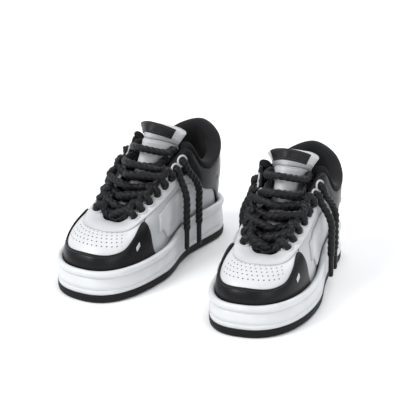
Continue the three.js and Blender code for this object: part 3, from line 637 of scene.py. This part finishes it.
class Builder:
    """Turns a shoe's patches into finished Blender pieces."""

    def __init__(self, form: ShoeForm, foot: Foot, shift: float, makers: MaterialMaker) -> None:
        """Keeps what every piece of the shoe needs.

        Args:
            form: the shoe's form.
            foot: which foot it is for.
            shift: how far the pair's middle is from the row's origin, along Y.
            makers: the materials.
        """
        self.form, self.foot, self.shift, self.makers = form, foot, shift, makers

    def add(
        self,
        name: str,
        points: Array,
        faces: Array,
        finish: str,
        replaces: Sequence[str] = (),
        body: str = "shoe",
        attributes: dict[str, Array] | None = None,
        uv: Array | None = None,
        triangles: Array | None = None,
    ) -> bpy.types.Object:
        """Makes one piece from local points and quads.

        Args:
            name: the piece's name without its foot.
            points: (n, 3) local points.
            faces: (m, 4) corners, outwards for the left foot.
            finish: its finish's name.
            replaces: CAD nodes that it stands for, without their foot.
            body: shoe or tongue.
            attributes: float attributes for the vertices.
            uv: (n, 2) texture places in metres.
            triangles: (k, 3) corners of the caps.

        Returns:
            The piece.
        """
        flip = slice(None, None, self.foot.value)
        faces = [f for group in (faces, triangles) if group is not None for f in group[:, flip].tolist()]
        mesh = bpy.data.meshes.new(name)
        mesh.from_pydata(self.form.place(points, self.foot, self.shift), [], faces)
        mesh.polygons.foreach_set("use_smooth", np.ones(len(faces), bool))
        for key in ("edge_mm", "seam_mm", "crease", "holes"):
            values = (attributes or {}).get(key)
            if values is None:
                values = np.full(len(points), 99.0 if key == "edge_mm" else 0.0)
            layer = mesh.attributes.new(key, "FLOAT", "POINT")
            layer.data.foreach_set("value", np.asarray(values, np.float32).ravel())
        if uv is not None:
            layer = mesh.uv_layers.new(name="UVMap")
            corner = np.empty(len(mesh.loops), np.int32)
            mesh.loops.foreach_get("vertex_index", corner)
            layer.data.foreach_set("uv", uv[corner].astype(np.float32).ravel())
        mesh.validate()
        mesh.update()
        look = FINISHES[finish]
        mesh.materials.append(self.makers.get(look))
        obj = bpy.data.objects.new(f"{self.foot.word}_{name}_look", mesh)
        bpy.context.scene.collection.objects.link(obj)
        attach(obj, f"{self.foot.word}_{body}")
        if replaces:
            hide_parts(*[f"{self.foot.word}_{node}" for node in replaces])
        LOG.info("%s: %d points, %d faces", obj.name, len(points), len(faces))
        return obj

    def plate(self, name: str, patch: Patch, finish: str, replaces: Sequence[str] = (), body: str = "shoe"):
        """A closed plate from a patch: its two faces and the four edges between them."""
        nu, nv = patch.outer.shape[:2]
        index = np.arange(nu * nv).reshape(nu, nv)
        below = index + nu * nv

        def quads(a: Array) -> Array:
            return np.stack([a[:-1, :-1], a[1:, :-1], a[1:, 1:], a[:-1, 1:]], -1).reshape(-1, 4)

        def strip(top: Array, bottom: Array) -> Array:
            return np.stack([top[:-1], bottom[:-1], bottom[1:], top[1:]], -1)

        faces = np.concatenate(
            [
                quads(index),
                quads(below)[:, ::-1],
                strip(index[:, 0], below[:, 0]),
                strip(index[::-1, -1], below[::-1, -1]),
                strip(index[0, ::-1], below[0, ::-1]),
                strip(index[-1], below[-1]),
            ]
        )
        points = np.concatenate([patch.outer.reshape(-1, 3), patch.inner.reshape(-1, 3)])
        double = {k: np.concatenate([v.ravel(), v.ravel()]) for k, v in patch.attributes.items()}
        uv = None if patch.uv is None else np.concatenate([patch.uv.reshape(-1, 2)] * 2)
        return self.add(name, points, faces, finish, replaces, body, double, uv)

    def leather(
        self,
        span: tuple[float, float],
        low: Callable[[Array], Array],
        high: Callable[[Array], Array],
        lift: float,
        thick: float,
        size: tuple[int, int],
        puff: float = 0.0,
        crop: Callable[[Array, Array], Array] | None = None,
    ) -> Patch:
        """A piece of leather laid over the base surface.

        Its face rises from its edge over a quarter round as wide as half its thickness, then by the puff,
        which dies away with the distance from the edge.

        Args:
            span: its first and last w.
            low: t of its lower edge at each w.
            high: t of its upper edge.
            lift: height of its underside.
            thick: its thickness.
            size: steps across and up.
            puff: how much its middle swells.
            crop: an extra height for each (w, t), such as a fold.

        Returns:
            The patch, with its edge distance and seam length in millimetres.
        """
        w = np.linspace(*span, size[0])[:, None]
        v = (1 - np.cos(np.linspace(0, math.pi, size[1]))) / 2
        v = 0.5 * v + 0.5 * np.linspace(0, 1, size[1])
        t = low(w) + (high(w) - low(w)) * v[None, :]
        w = np.broadcast_to(w, t.shape)
        base, n = self.form.surface(w, t), self.form.normal(w, t)
        su, sv = grid_lengths(base)
        du, dv = np.minimum(su, su[-1:] - su), np.minimum(sv, sv[:, -1:] - sv)
        edge = np.minimum(du, dv)
        round_over = np.sqrt(1 - (1 - np.clip(edge / (0.6 * thick), 0, 1)) ** 2)
        height = lift + thick * (0.25 + 0.75 * round_over) + puff * (1 - np.exp(-edge / 7.0))
        if crop is not None:
            height = height + crop(w, t)
        attributes = {
            "edge_mm": edge,
            "seam_mm": np.where(du < dv, sv, su),
            # painted shade along the piece's edges
            "crease": 0.6 * np.exp(-edge / 0.5),
        }
        uv = np.stack([su - su[-1:] / 2, sv], -1) * MM
        return Patch(base + n * height[..., None], base + n * lift, attributes, uv)

    def stack(self, name: str, levels: Sequence[tuple], finish: str, replaces, count: int = 240):
        """A body of closed outlines, one above another, capped at both ends.

        Args:
            name: the piece's name.
            levels: (height, inset, share of the heel's rise) of each outline.
            finish: its finish.
            replaces: CAD nodes that it stands for.
            count: points round each outline.
        """
        w = np.linspace(-1, 1, count, endpoint=False)
        rings = []
        for z, inset, rises in levels:
            xy = self.form.outline(w, inset)
            climb = smooth([-0.5, -0.2, 0.25, 0.5], [0, 0, 1, 1])(xy[:, 1] / self.form.length)
            rings.append(np.column_stack([xy, z + rises * self.form.heel_rise * climb]))
        index = np.arange(count * len(levels)).reshape(len(levels), count)
        nxt = np.roll(index, -1, axis=1)
        sides = np.stack([index[:-1], nxt[:-1], nxt[1:], index[1:]], -1).reshape(-1, 4)
        ring, centre = np.arange(count), len(levels) * count
        caps = [
            np.stack([np.full(count, centre), nxt[0], index[0]], -1),
            np.stack([np.full(count, centre + 1), index[-1][ring], nxt[-1][ring]], -1),
        ]
        middles = [[-1.0, 0.0, levels[0][0]], [-1.0, 0.0, levels[-1][0]]]
        points = np.concatenate([*rings, middles])
        return self.add(name, points, sides, finish, replaces, triangles=np.concatenate(caps))

    def swept(
        self,
        name: str,
        path: Array,
        radius: float,
        finish: str,
        replaces: Sequence[str] = (),
        pitch: float = 0.0,
        taper: Array | None = None,
        sides: int = 24,
    ) -> bpy.types.Object:
        """A rope or rod along a path.

        Its section is round, or three strands that turn once in each pitch: the radius falls between the
        strands as the cosine of one and a half times the angle does.

        Args:
            name: the piece's name.
            path: (n, 3) centre points, evenly spaced.
            radius: largest radius.
            finish: its finish.
            replaces: CAD nodes that it stands for.
            pitch: length of one turn of the strands; 0 is a plain rod.
            taper: share of the radius at each point.
            sides: points round the section.
        """
        tangent = unit(np.gradient(path, axis=0))
        across = unit(np.cross(tangent, [0.0, 1.0, 0.0]))
        up = np.cross(across, tangent)
        s = np.concatenate([[0], np.cumsum(np.linalg.norm(np.diff(path, axis=0), axis=1))])
        angle = np.arange(sides) * 2 * math.pi / sides
        share = np.ones((len(path), sides))
        valley_shade = np.zeros_like(share)
        if pitch:
            lobe = np.abs(np.cos(1.5 * (angle[None] - 2 * math.pi * s[:, None] / pitch)))
            share = 0.70 + 0.30 * lobe**0.75
            # painted shade between the rope's strands, darkest where the strands part
            valley_shade = np.clip(1 - lobe * 1.7, 0, 1) * 0.9
        size = radius * share * (np.ones(len(path)) if taper is None else taper)[:, None]
        ring = across[:, None] * np.cos(angle)[None, :, None] + up[:, None] * np.sin(angle)[None, :, None]
        points = np.concatenate([(path[:, None] + ring * size[..., None]).reshape(-1, 3), path[[0, -1]]])
        index = np.arange(len(path) * sides).reshape(len(path), sides)
        nxt = np.roll(index, -1, axis=1)
        faces = np.stack([index[:-1], index[1:], nxt[1:], nxt[:-1]], -1).reshape(-1, 4)
        centre = len(path) * sides
        caps = np.concatenate(
            [
                np.stack([np.full(sides, centre), index[0], nxt[0]], -1),
                np.stack([np.full(sides, centre + 1), nxt[-1], index[-1]], -1),
            ]
        )
        crease = np.concatenate([valley_shade.ravel(), [0, 0]])
        uv = np.stack(np.broadcast_arrays(angle[None] * radius, s[:, None]), -1).reshape(-1, 2) * MM
        uv = np.concatenate([uv, uv[[0, -1]]])
        strand_shade = {"crease": crease}
        return self.add(name, points, faces, finish, replaces, attributes=strand_shade, uv=uv, triangles=caps)


# ---- sub-assemblies ------------------------------------------------------------------------------
@dataclass
class Sole:
    """The outsole, the cupsole and the footbed. A level: height, inset and share of the heel's rise."""

    form: ShoeForm

    def build(self, b: Builder) -> None:
        """Adds the pieces."""
        f = self.form
        tread = [(0, 3.2, 0), (0.5, 2.2, 0), (1.6, 1.0, 0), (3.0, 0.7, 0), (8.4, 0.5, 0), (9.0, 1.0, 0)]
        b.stack("outsole", tread, "outsole_rubber", ["outsole"])
        top, z = f.sole_top, f.outsole
        wall = [(z, 2.0, 0), (z + 0.4, 0.9, 0), (z + 4.6, 0.8, 0)]
        wall += [(z + 5.0, 1.4, 0), (z + 5.7, 1.4, 0), (z + 6.1, 0.9, 0)]
        wall += [(z + 10, 1.1, 0), (top - 9.6, 1.8, 0.55), (top - 8.9, 2.2, 0.62)]
        wall += [(top - 8.3, 2.9, 0.68), (top - 7.7, 2.3, 0.74)]
        turn = np.linspace(-0.5, 1.0, 11) * math.pi / 2
        bead = [(top - 3.7 + 3.7 * math.sin(a), 3.0 - 3.0 * math.cos(a), 1) for a in turn]
        lip = [(top - 0.3, 4.6, 1), (top - 1.6, 6.2, 1), (top - 4, 6.4, 1), (f.feather + 0.2, 6.4, 0)]
        b.stack("cupsole", wall + bead + lip, "cupsole_rubber", ["cupsole", "foam_insert", "insole_board"])
        z = f.feather
        b.stack("footbed", [(z, 12.2, 0), (z + 3, 12, 0), (z + 4, 13, 0)], "lining_textile", ["footbed"])


@dataclass
class Upper:
    """The leather pieces, each a patch over the base surface."""

    form: ShoeForm
    seam: float = 0.003
    vamp_end: float = 0.29
    stay_end: float = 0.546
    base_step: float = 0.672
    ankle_end: float = 0.885
    counter_start: float = 0.905
    lozenge: tuple[float, float] = (5.5, 9.0)
    ring_radius: float = 5.5
    ring_wire: float = 1.2

    def __post_init__(self) -> None:
        """Works out the edges between the pieces."""
        stay = smooth([0, 0.11, 0.24, 0.4, 0.55, 0.675], [0.74, 0.73, 0.69, 0.67, 0.68, 0.72])
        guard = smooth(
            [0, 0.1, 0.155, 0.195, 0.222, 0.25, 0.285, 0.33, 0.38],
            [0.3, 0.29, 0.31, 0.36, 0.5, 0.635, 0.65, 0.42, 0.02],
        )
        ankle = smooth([0.552, 0.6, 0.68, 0.76, 0.82, 0.862, 0.885], [0.76, 0.7, 0.64, 0.58, 0.46, 0, 0])
        self.stay_low = lambda w: stay(np.abs(w))
        self.guard_high = lambda w: guard(np.abs(w))
        self.ankle_low = lambda w: np.maximum(0, ankle(np.abs(w)))
        low = smooth([0.4, 0.45, 0.66, 0.74], [0.3, 0.14, 0.12, 0.26])
        high = smooth([0.4, 0.45, 0.66, 0.74], [0.56, 0.6, 0.54, 0.42])
        self.panel_low, self.panel_high = (lambda w: low(np.abs(w))), (lambda w: high(np.abs(w)))

    def build(self, b: Builder) -> None:
        """Adds the pieces."""
        f = self.form
        base, over = f.base_thick, f.overlay_thick
        zero, one = (lambda w: 0 * w), (lambda w: 0 * w + 1)
        low_base = lambda w: self.stay_low(w) + 0.1
        vamp = b.leather((-self.vamp_end, self.vamp_end), zero, low_base, 0, base + 0.6, (200, 70))
        share = np.linspace(0, 1, vamp.outer.shape[1])[None, :]
        place = np.abs(np.linspace(-1, 1, vamp.outer.shape[0]))[:, None]
        lengthwise = step(share, 0.44, 0.5) * (1 - step(share, 0.80, 0.85))
        vamp.attributes["holes"] = lengthwise * (1 - step(place, 0.52, 0.6))
        b.plate("vamp", vamp, "vamp_leather", ["vamp"])
        guard = b.leather((-0.38, 0.38), zero, self.guard_high, base, over, (260, 40), puff=0.7)
        b.plate("toe_overlay", guard, "black_leather", ["toe_overlay"])
        stay = b.leather((-self.stay_end, self.stay_end), self.stay_low, one, base, over, (320, 26), puff=0.3)
        b.plate("eyestay", stay, "stay_leather", ["eyestay"])
        back = (self.counter_start, 2 - self.counter_start)
        counter = b.leather(back, zero, one, base, over, (70, 60), puff=0.5)
        b.plate("heel_counter", counter, "black_leather", ["heel_counter"])
        for side in Side:
            self._side(b, side, zero, one)
        self._eyelets(b)

    def _side(self, b: Builder, side: Side, zero: Callable, one: Callable) -> None:
        """Adds one side's pieces."""
        f, word = self.form, side.word

        def span(start: float, end: float) -> tuple[float, float]:
            return (start, end) if side is Side.LATERAL else (-end, -start)

        base, over = f.base_thick, f.overlay_thick
        edge = lambda w: np.where(np.abs(w) < self.base_step, self.stay_low(w) + 0.1, 1.0)
        quarter = b.leather(span(self.vamp_end + self.seam, 0.998), zero, edge, 0, base + 0.6, (180, 50))
        b.plate(f"quarter_{word}", quarter, "quarter_leather", [f"quarter_{word}"])
        panel = b.leather(span(0.38, 0.74), self.panel_low, self.panel_high, base, over, (90, 50), puff=1.2)
        b.plate(f"side_panel_{word}", panel, "panel_leather", [f"side_panel_{word}"])
        ankle = b.leather(span(0.549, self.ankle_end), self.ankle_low, one, base, over, (150, 60), puff=0.6)
        b.plate(f"ankle_overlay_{word}", ankle, "black_leather", [f"ankle_overlay_{word}"])
        strip = span(self.ankle_end - 0.002, self.counter_start + 0.002)
        piping = b.leather(strip, zero, one, base, 3.1, (12, 60))
        b.plate(f"heel_piping_{word}", piping, "piping_trim", [f"heel_piping_{word}"])
        for name, w0, t0 in (("toe", 0.262, 0.3), ("heel", 0.86, 0.62)):
            self._lozenge(b, f"{name}_lozenge_{word}", side.value * w0, t0)

    def _lozenge(self, b: Builder, name: str, w0: float, t0: float) -> None:
        """A small plain rhombus on the leather: a turned square of the grid, pressed to the surface."""
        f = self.form
        e = 0.002
        wide = float(np.linalg.norm(f.surface(w0 + e, t0) - f.surface(w0 - e, t0)) / (2 * e))
        tall = float(np.linalg.norm(f.surface(w0, t0 + e) - f.surface(w0, t0 - e)) / (2 * e))
        g = np.linspace(-1, 1, 9)
        u, v = np.meshgrid(g, g, indexing="ij")
        w = w0 + (u - v) / 2 * self.lozenge[0] / 2 / wide
        t = t0 + (u + v) / 2 * self.lozenge[1] / 2 / tall
        outer = f.lifted(w, t, f.base_thick + f.overlay_thick + 1.5)
        inner = f.lifted(w, t, f.base_thick + 1.0)
        b.plate(name, Patch(outer, inner), "eyelet_trim")

    def _eyelets(self, b: Builder) -> None:
        """The eyelets' rims: a ring round each hole, standing a little over the eyestay."""
        f = self.form
        a = np.linspace(0, 2 * math.pi, 32, endpoint=False)
        c = np.linspace(0, 2 * math.pi, 12, endpoint=False)
        index = np.arange(32 * 12).reshape(32, 12)
        right, up = np.roll(index, -1, 0), np.roll(index, -1, 1)
        quads = np.stack([index, right, np.roll(right, -1, 1), up], -1).reshape(-1, 4)
        points, faces = [], []
        for k, (row, side) in enumerate((r, s) for r in range(f.rows) for s in (-1, 1)):
            centre, n, _, _ = f.eyelet(row, side)
            x = unit(np.cross(n, [0.0, 1.0, 0.0]))
            y = np.cross(n, x)
            spoke = x * np.cos(a)[:, None] + y * np.sin(a)[:, None]
            reach = (self.ring_radius + self.ring_wire * np.cos(c))[None, :, None]
            rise = (0.35 + 1.1 * np.sin(c))[None, :, None]
            ring = spoke[:, None] * reach + n * rise
            points.append((centre + ring).reshape(-1, 3))
            faces.append(quads + k * len(points[-1]))
        b.add("eyelet_rims", np.concatenate(points), np.concatenate(faces), "eyelet_trim")


@dataclass
class Collar:
    """The padded collar: a lining inside the wall and a roll over its top.

    Its section's corners are (outwards, above the rim).
    """

    form: ShoeForm
    start: float = 0.672
    corners: tuple = (
        (-0.2, -48), (-0.2, -24), (-0.2, -2), (0.6, 0.6), (4.4, 0.2), (6.0, 3.0), (4.6, 6.8), (0.6, 8.8),
        (-4.6, 8.6), (-8.6, 5.2), (-9.8, -2), (-8.6, -12), (-5.4, -26), (-3.4, -46),
    )  # fmt: skip

    def build(self, b: Builder) -> None:
        """Adds the collar: its rounded section, carried round the rim and drawn in at both ends."""
        f = self.form
        corners = np.array(self.corners, float)
        around = closed_curve(corners, 72)
        w = np.linspace(self.start, 2 - self.start, 150)[:, None]
        out, above = around[None, :, 0], around[None, :, 1]
        end = np.minimum(w - self.start, 2 - self.start - w) * 240
        draw = np.sqrt(1 - (1 - np.clip(end / 5.0, 0.02, 1)) ** 2)
        mid = np.array([-2.0, -4.0])
        out, above = mid[0] + (out - mid[0]) * draw, mid[1] + (above - mid[1]) * draw
        fold = 0.35 * np.sin(w * 90) * step(-above, -4, 10)
        rim, near = f.surface(w, 1.0 + 0 * w), f.surface(w, 0.97 + 0 * w)
        rise = unit(rim - near)
        per = 0.3 / np.linalg.norm(rim - f.surface(w, 0.7 + 0 * w), axis=-1)
        t = np.clip(1 + np.minimum(above, 0) * per, 0.06, 1)
        ww = np.broadcast_to(w, t.shape)
        points = f.lifted(ww, t, out + fold) + rise * np.maximum(above, 0)[..., None]
        n, m = points.shape[:2]
        index = np.arange(n * m).reshape(n, m)
        nxt = np.roll(index, -1, 1)
        faces = np.stack([index[:-1], nxt[:-1], nxt[1:], index[1:]], -1).reshape(-1, 4)[:, ::-1]
        flat = points.reshape(-1, 3)
        middles = np.stack([points[0].mean(0), points[-1].mean(0)])
        caps = np.concatenate(
            [
                np.stack([np.full(m, n * m), index[0], nxt[0]], -1)[:, ::-1],
                np.stack([np.full(m, n * m + 1), nxt[-1], index[-1]], -1)[:, ::-1],
            ]
        )
        points = np.concatenate([flat, middles])
        collar = b.add("collar", points, faces, "collar_textile", ["collar_padding"], triangles=caps)


@dataclass
class Tongue:
    """The padded tongue, its free top, the pleats between them and the woven label."""

    form: ShoeForm
    hinge: float = 0.80

    def _cover(
        self, a_span: tuple, q_half: float, size: tuple, lift: float, thick: float, puff: float, ribs: float
    ) -> Patch:
        """A soft plate over the tongue's face, with round edges, and ribs across it where asked."""
        a = np.linspace(*a_span, size[1])[None, :]
        q = np.linspace(-q_half, q_half, size[0])[:, None]
        base = self.form.tongue(a, q)
        n = grid_normals(base)
        su, sv = grid_lengths(base)
        du, dv = np.minimum(su, su[-1:] - su), np.minimum(sv, sv[:, -1:] - sv)
        edge = np.minimum(du, dv)
        bulge = np.sqrt(1 - (1 - np.clip(edge / (0.5 * thick), 0, 1)) ** 2)
        height = lift + (bulge - 1) * thick * 0.5 + puff * (1 - np.exp(-edge / 6.0))
        pleated = step(0.27 - np.abs(a - 0.92), 0, 0.03)
        rib = np.abs(np.sin(math.pi * (a - self.hinge) / 0.055)) * pleated
        height = height + ribs * rib
        under = lift - thick * (0.5 + 0.5 * bulge)
        attributes = {
            "edge_mm": edge,
            "seam_mm": np.where(du < dv, sv, su),
            # painted shade in the hollows between the pleats' ribs and along the edges
            "crease": ribs * 0.5 * (1 - rib) * pleated + 0.5 * np.exp(-edge / 0.6),
        }
        uv = np.stack([su, sv], -1) * MM
        return Patch(base + n * height[..., None], base + n * under[..., None], attributes, uv)

    def build(self, b: Builder) -> None:
        """Adds the pieces."""
        base = self._cover((0.1, self.hinge - 0.004), 0.94, (70, 90), 0, 5.5, 0.8, 0.7)
        b.plate("tongue_base", base, "tongue_textile", ["tongue_base"])
        top = self._cover((self.hinge + 0.004, 1.68), 0.94, (90, 110), 0, 8.5, 1.2, 0.9)
        b.plate("tongue_top", top, "tongue_textile", ["tongue_top"], body="tongue")
        label = self._cover((1.04, 1.6), 0.6, (70, 36), 2.6, 2.0, 0.2, 0.0)
        b.plate("tongue_label", label, "label_satin", ["tongue_label"], body="tongue")


def catmull_rom(p0: Array, p1: Array, p2: Array, p3: Array, t: Array) -> Array:
    """The cubic from p1 to p2 whose end slopes are half of p2 - p0 and half of p3 - p1."""
    square = (2 * p0 - 5 * p1 + 4 * p2 - p3) * t**2
    cube = (3 * p1 - p0 - 3 * p2 + p3) * t**3
    return 0.5 * (2 * p1 + (p2 - p0) * t + square + cube)


def closed_curve(corners: Array, count: int) -> Array:
    """A smooth closed curve through corners: uniform Catmull-Rom spans."""
    n = len(corners)
    s = np.linspace(0, n, count, endpoint=False)
    i, t = np.floor(s).astype(int), (s % 1)[:, None]
    p0, p1, p2, p3 = (corners[(i + k) % n] for k in (-1, 0, 1, 2))
    return catmull_rom(p0, p1, p2, p3, t)


def through(points: Sequence[Array], spacing: float) -> Array:
    """Evenly spaced points on a smooth open curve through the given ones."""
    p = np.array(points, float)
    p = np.concatenate([[2 * p[0] - p[1]], p, [2 * p[-1] - p[-2]]])
    n = len(p) - 3
    s = np.linspace(0, n - 1e-9, n * 24)
    i, t = np.floor(s).astype(int), (s % 1)[:, None]
    p0, p1, p2, p3 = (p[i + k] for k in range(4))
    dense = catmull_rom(p0, p1, p2, p3, t)
    along = np.concatenate([[0], np.cumsum(np.linalg.norm(np.diff(dense, axis=0), axis=1))])
    even = np.linspace(0, along[-1], max(8, int(along[-1] / spacing)))
    return np.stack([np.interp(even, along, dense[:, k]) for k in range(3)], -1)


@dataclass
class Lacing:
    """Two twisted ropes: one crosses its way up the eyelets, the other crosses at the top row."""

    form: ShoeForm
    radius: float = 4.0
    pitch: float = 19.0
    aglet_length: float = 24.0
    aglet_radius: float = 2.7
    hang_along: tuple[float, float] = (0.56, 0.66)
    hang_low: tuple[float, float] = (40.0, 36.0)
    hang_clear: float = 5.5

    @property
    def above(self) -> float:
        """Height of a rope's centre over the eyestay's face."""
        return self.radius + 0.3

    @property
    def below(self) -> float:
        """Height of a rope's centre under it."""
        return -(self.form.base_thick + self.form.overlay_thick) - self.radius - 1.4

    def _eye(self, row: float, side: int, height: float) -> Array:
        centre, n, _, _ = self.form.eyelet(row, side)
        return centre + n * height

    def _rim(self, row: float, side: int, height: float) -> Array:
        f = self.form
        w = f.eyelet(row, side)[2]
        inward = unit(f.surface(w, 1.0) - f.surface(w, 0.97))
        lift = f.base_thick + f.overlay_thick + height
        return f.lifted(np.array(w), np.array(1.0), lift) + inward * (4.5 if height < 0 else 0.0)

    def _cross(self, row: float, q: float, height: float) -> Array:
        return self.form.over_tongue(row, q, self.radius + 5.8 + height)

    def _crossing(self, row: int, side: int, height: float) -> list[Array]:
        """From under the eyestay, over the tongue, over the far edge and down into the next eyelet."""
        return [
            self._rim(row, side, self.below),
            self._cross(row + 0.5, 0, height),
            self._cross(row + 0.75, -side * 0.5, height * 0.6 + 9),
            self._rim(row + 1, -side, self.above + 3.2),
            self._eye(row + 1, -side, self.above + 0.4),
            self._eye(row + 1, -side, self.below),
        ]

    def _hanging(self, row: int, side: int, slot: int) -> list[Array]:
        """A free end: out of its eyelet, clear of the quarter and the sole's edge, and straight down."""
        f = self.form
        start = self._eye(row, side, self.above)
        foot = f.outline(np.array(side * self.hang_along[slot]), -self.hang_clear)
        i = np.arange(1, 7)[:, None] / 6
        out = step(2 * i, 0, 1)
        flat = start[:2] + (foot - start[:2]) * out
        fall = start[2] + 1 + (self.hang_low[slot] - start[2] - 1) * i
        return [start, *np.concatenate([flat, fall], 1)]

    def build(self, b: Builder) -> None:
        """Adds the ropes, their free ends and the aglets."""
        rows, lift = self.form.rows, 2 * self.radius

        def half(side: int, height: float) -> list[Array]:
            points = [self._cross(0, 0, 0), self._cross(0, side * 0.5, 8)]
            points.append(self._rim(0, side, self.above + 3.2))
            points += [self._eye(0, side, self.above + 0.4), self._eye(0, side, self.below)]
            at = side
            for row in range(rows - 3):
                points += self._crossing(row, at, height)
                at = -at
            row = rows - 3
            points += [self._rim(row, at, self.below), self._cross(row + 0.35, at * 0.4, height * 0.5 + 1)]
            points += [self._cross(row + 0.5, 0, height), self._cross(row + 0.65, -at * 0.4, height * 0.5)]
            points += [self._rim(row + 1, -at, self.below), self._eye(row + 1, -at, self.below)]
            return points + [self._eye(row + 1, -at, 0), self._eye(row + 1, -at, self.above)]

        lower = half(-1, 0)[::-1] + half(1, lift)[1:]
        b.swept("lace_lower", through(lower, 0.9), self.radius, "rope", ["lace_lower"], self.pitch)
        row = rows - 1

        def side_part(s: int) -> list[Array]:
            under = [self._cross(row, s * 0.5, 0), self._rim(row, s, self.below)]
            return under + [self._eye(row, s, height) for height in (self.below, 0, self.above)]

        upper = side_part(-1)[::-1] + [self._cross(row, 0, 0)] + side_part(1)
        b.swept("lace_upper", through(upper, 0.9), self.radius, "rope", ["lace_upper"], self.pitch)
        for side in Side:
            for slot, (name, row) in enumerate((("lower", rows - 2), ("upper", rows - 1))):
                self._free_end(b, name, side, row, slot)

    def _free_end(self, b: Builder, name: str, side: Side, row: int, slot: int) -> None:
        path = through(self._hanging(row, side.value, slot), 0.9)
        rope = b.swept(f"lace_end_{name}_{side.word}", path, self.radius, "rope", (), self.pitch)
        way = unit(path[-1] - path[-6])
        s = np.linspace(0, 1, 40)
        rod = path[-1] + way * (s * (self.aglet_length + 3.5) - 3.0)[:, None]
        taper = np.minimum(1, np.sqrt(np.clip(1 - (np.abs(s - 0.5) * 2) ** 14, 0.02, 1)))
        taper = taper * (1 + 0.10 * np.exp(-(((s - 0.16) / 0.03) ** 2)))
        title = f"aglet_{name}_{side.word}"
        aglet = b.swept(title, rod, self.aglet_radius, "aglet_plastic", [title], 0, taper)
        real = b.form.place(path, b.foot, b.shift)


# ---- stage ---------------------------------------------------------------------------------------
@dataclass
class Studio:
    """Pale floor, soft lights and the camera."""

    azimuth: float = 25.4
    elevation: float = 22.0
    distance: float = 3.0
    aim: tuple[float, float, float] = (-0.0784, 0.1637, 0.0)
    lens: float = 230.0

    def build(self) -> None:
        """Sets the stage."""
        scene = bpy.context.scene
        scene.view_settings.view_transform = "Standard"
        bpy.ops.mesh.primitive_plane_add(size=12.0, location=(0, 0, -0.0002))
        floor = bpy.context.object
        floor.name = "floor"
        mat = bpy.data.materials.new("pale_floor")
        mat.use_nodes = True
        mat.node_tree.nodes["Principled BSDF"].inputs["Base Color"].default_value = (0.93, 0.93, 0.93, 1)
        mat.node_tree.nodes["Principled BSDF"].inputs["Roughness"].default_value = 0.9
        floor.data.materials.append(mat)
        world = bpy.data.worlds.new("studio")
        world.use_nodes = True
        world.node_tree.nodes["Background"].inputs["Color"].default_value = (0.95, 0.97, 1.0, 1)
        world.node_tree.nodes["Background"].inputs["Strength"].default_value = 0.75
        scene.world = world
        for name, spot, size, power in (
            ("key", (-0.9, -1.3, 1.6), 0.9, 32.0),
            ("fill", (1.5, -0.8, 0.9), 1.2, 9.0),
            ("back", (0.3, 1.5, 1.4), 1.0, 16.0),
        ):
            light = bpy.data.lights.new(name, "AREA")
            light.size, light.energy = size, power
            lamp = bpy.data.objects.new(name, light)
            lamp.location = spot
            lamp.rotation_euler = (-Vector(spot)).to_track_quat("-Z", "Y").to_euler()
            scene.collection.objects.link(lamp)
        az, el = math.radians(self.azimuth), math.radians(self.elevation)
        back = Vector((math.sin(az) * math.cos(el), -math.cos(az) * math.cos(el), math.sin(el)))
        data = bpy.data.cameras.new("camera")
        data.lens, data.sensor_width = self.lens, 36.0
        data.clip_start, data.clip_end = 0.1, 50
        camera = bpy.data.objects.new("camera", data)
        camera.location = Vector(self.aim) + back * self.distance
        camera.rotation_euler = (-back).to_track_quat("-Z", "Y").to_euler()
        scene.collection.objects.link(camera)
        scene.camera = camera


def main() -> None:
    """Loads the frame, dresses it and sets the stage."""
    logging.basicConfig(level=logging.INFO, format="%(name)s %(message)s")
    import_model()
    form = ShoeForm()
    makers = MaterialMaker()
    low, high = (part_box(f"{Foot.LEFT.word}_outsole")[i].y for i in (0, 1))
    edge = np.column_stack([form.outline(np.linspace(-1, 1, 400), 0.8), np.zeros(400)])
    plain = form.place(edge, Foot.LEFT, 0.0)
    shift = float((plain[:, 1].min() + plain[:, 1].max() - low - high) / 2 / MM)
    for foot in Foot:
        builder = Builder(form, foot, shift, makers)
        for part in (Sole(form), Upper(form), Collar(form), Tongue(form), Lacing(form)):
            part.build(builder)
    Studio().build()


if __name__ == "__main__":
    main()
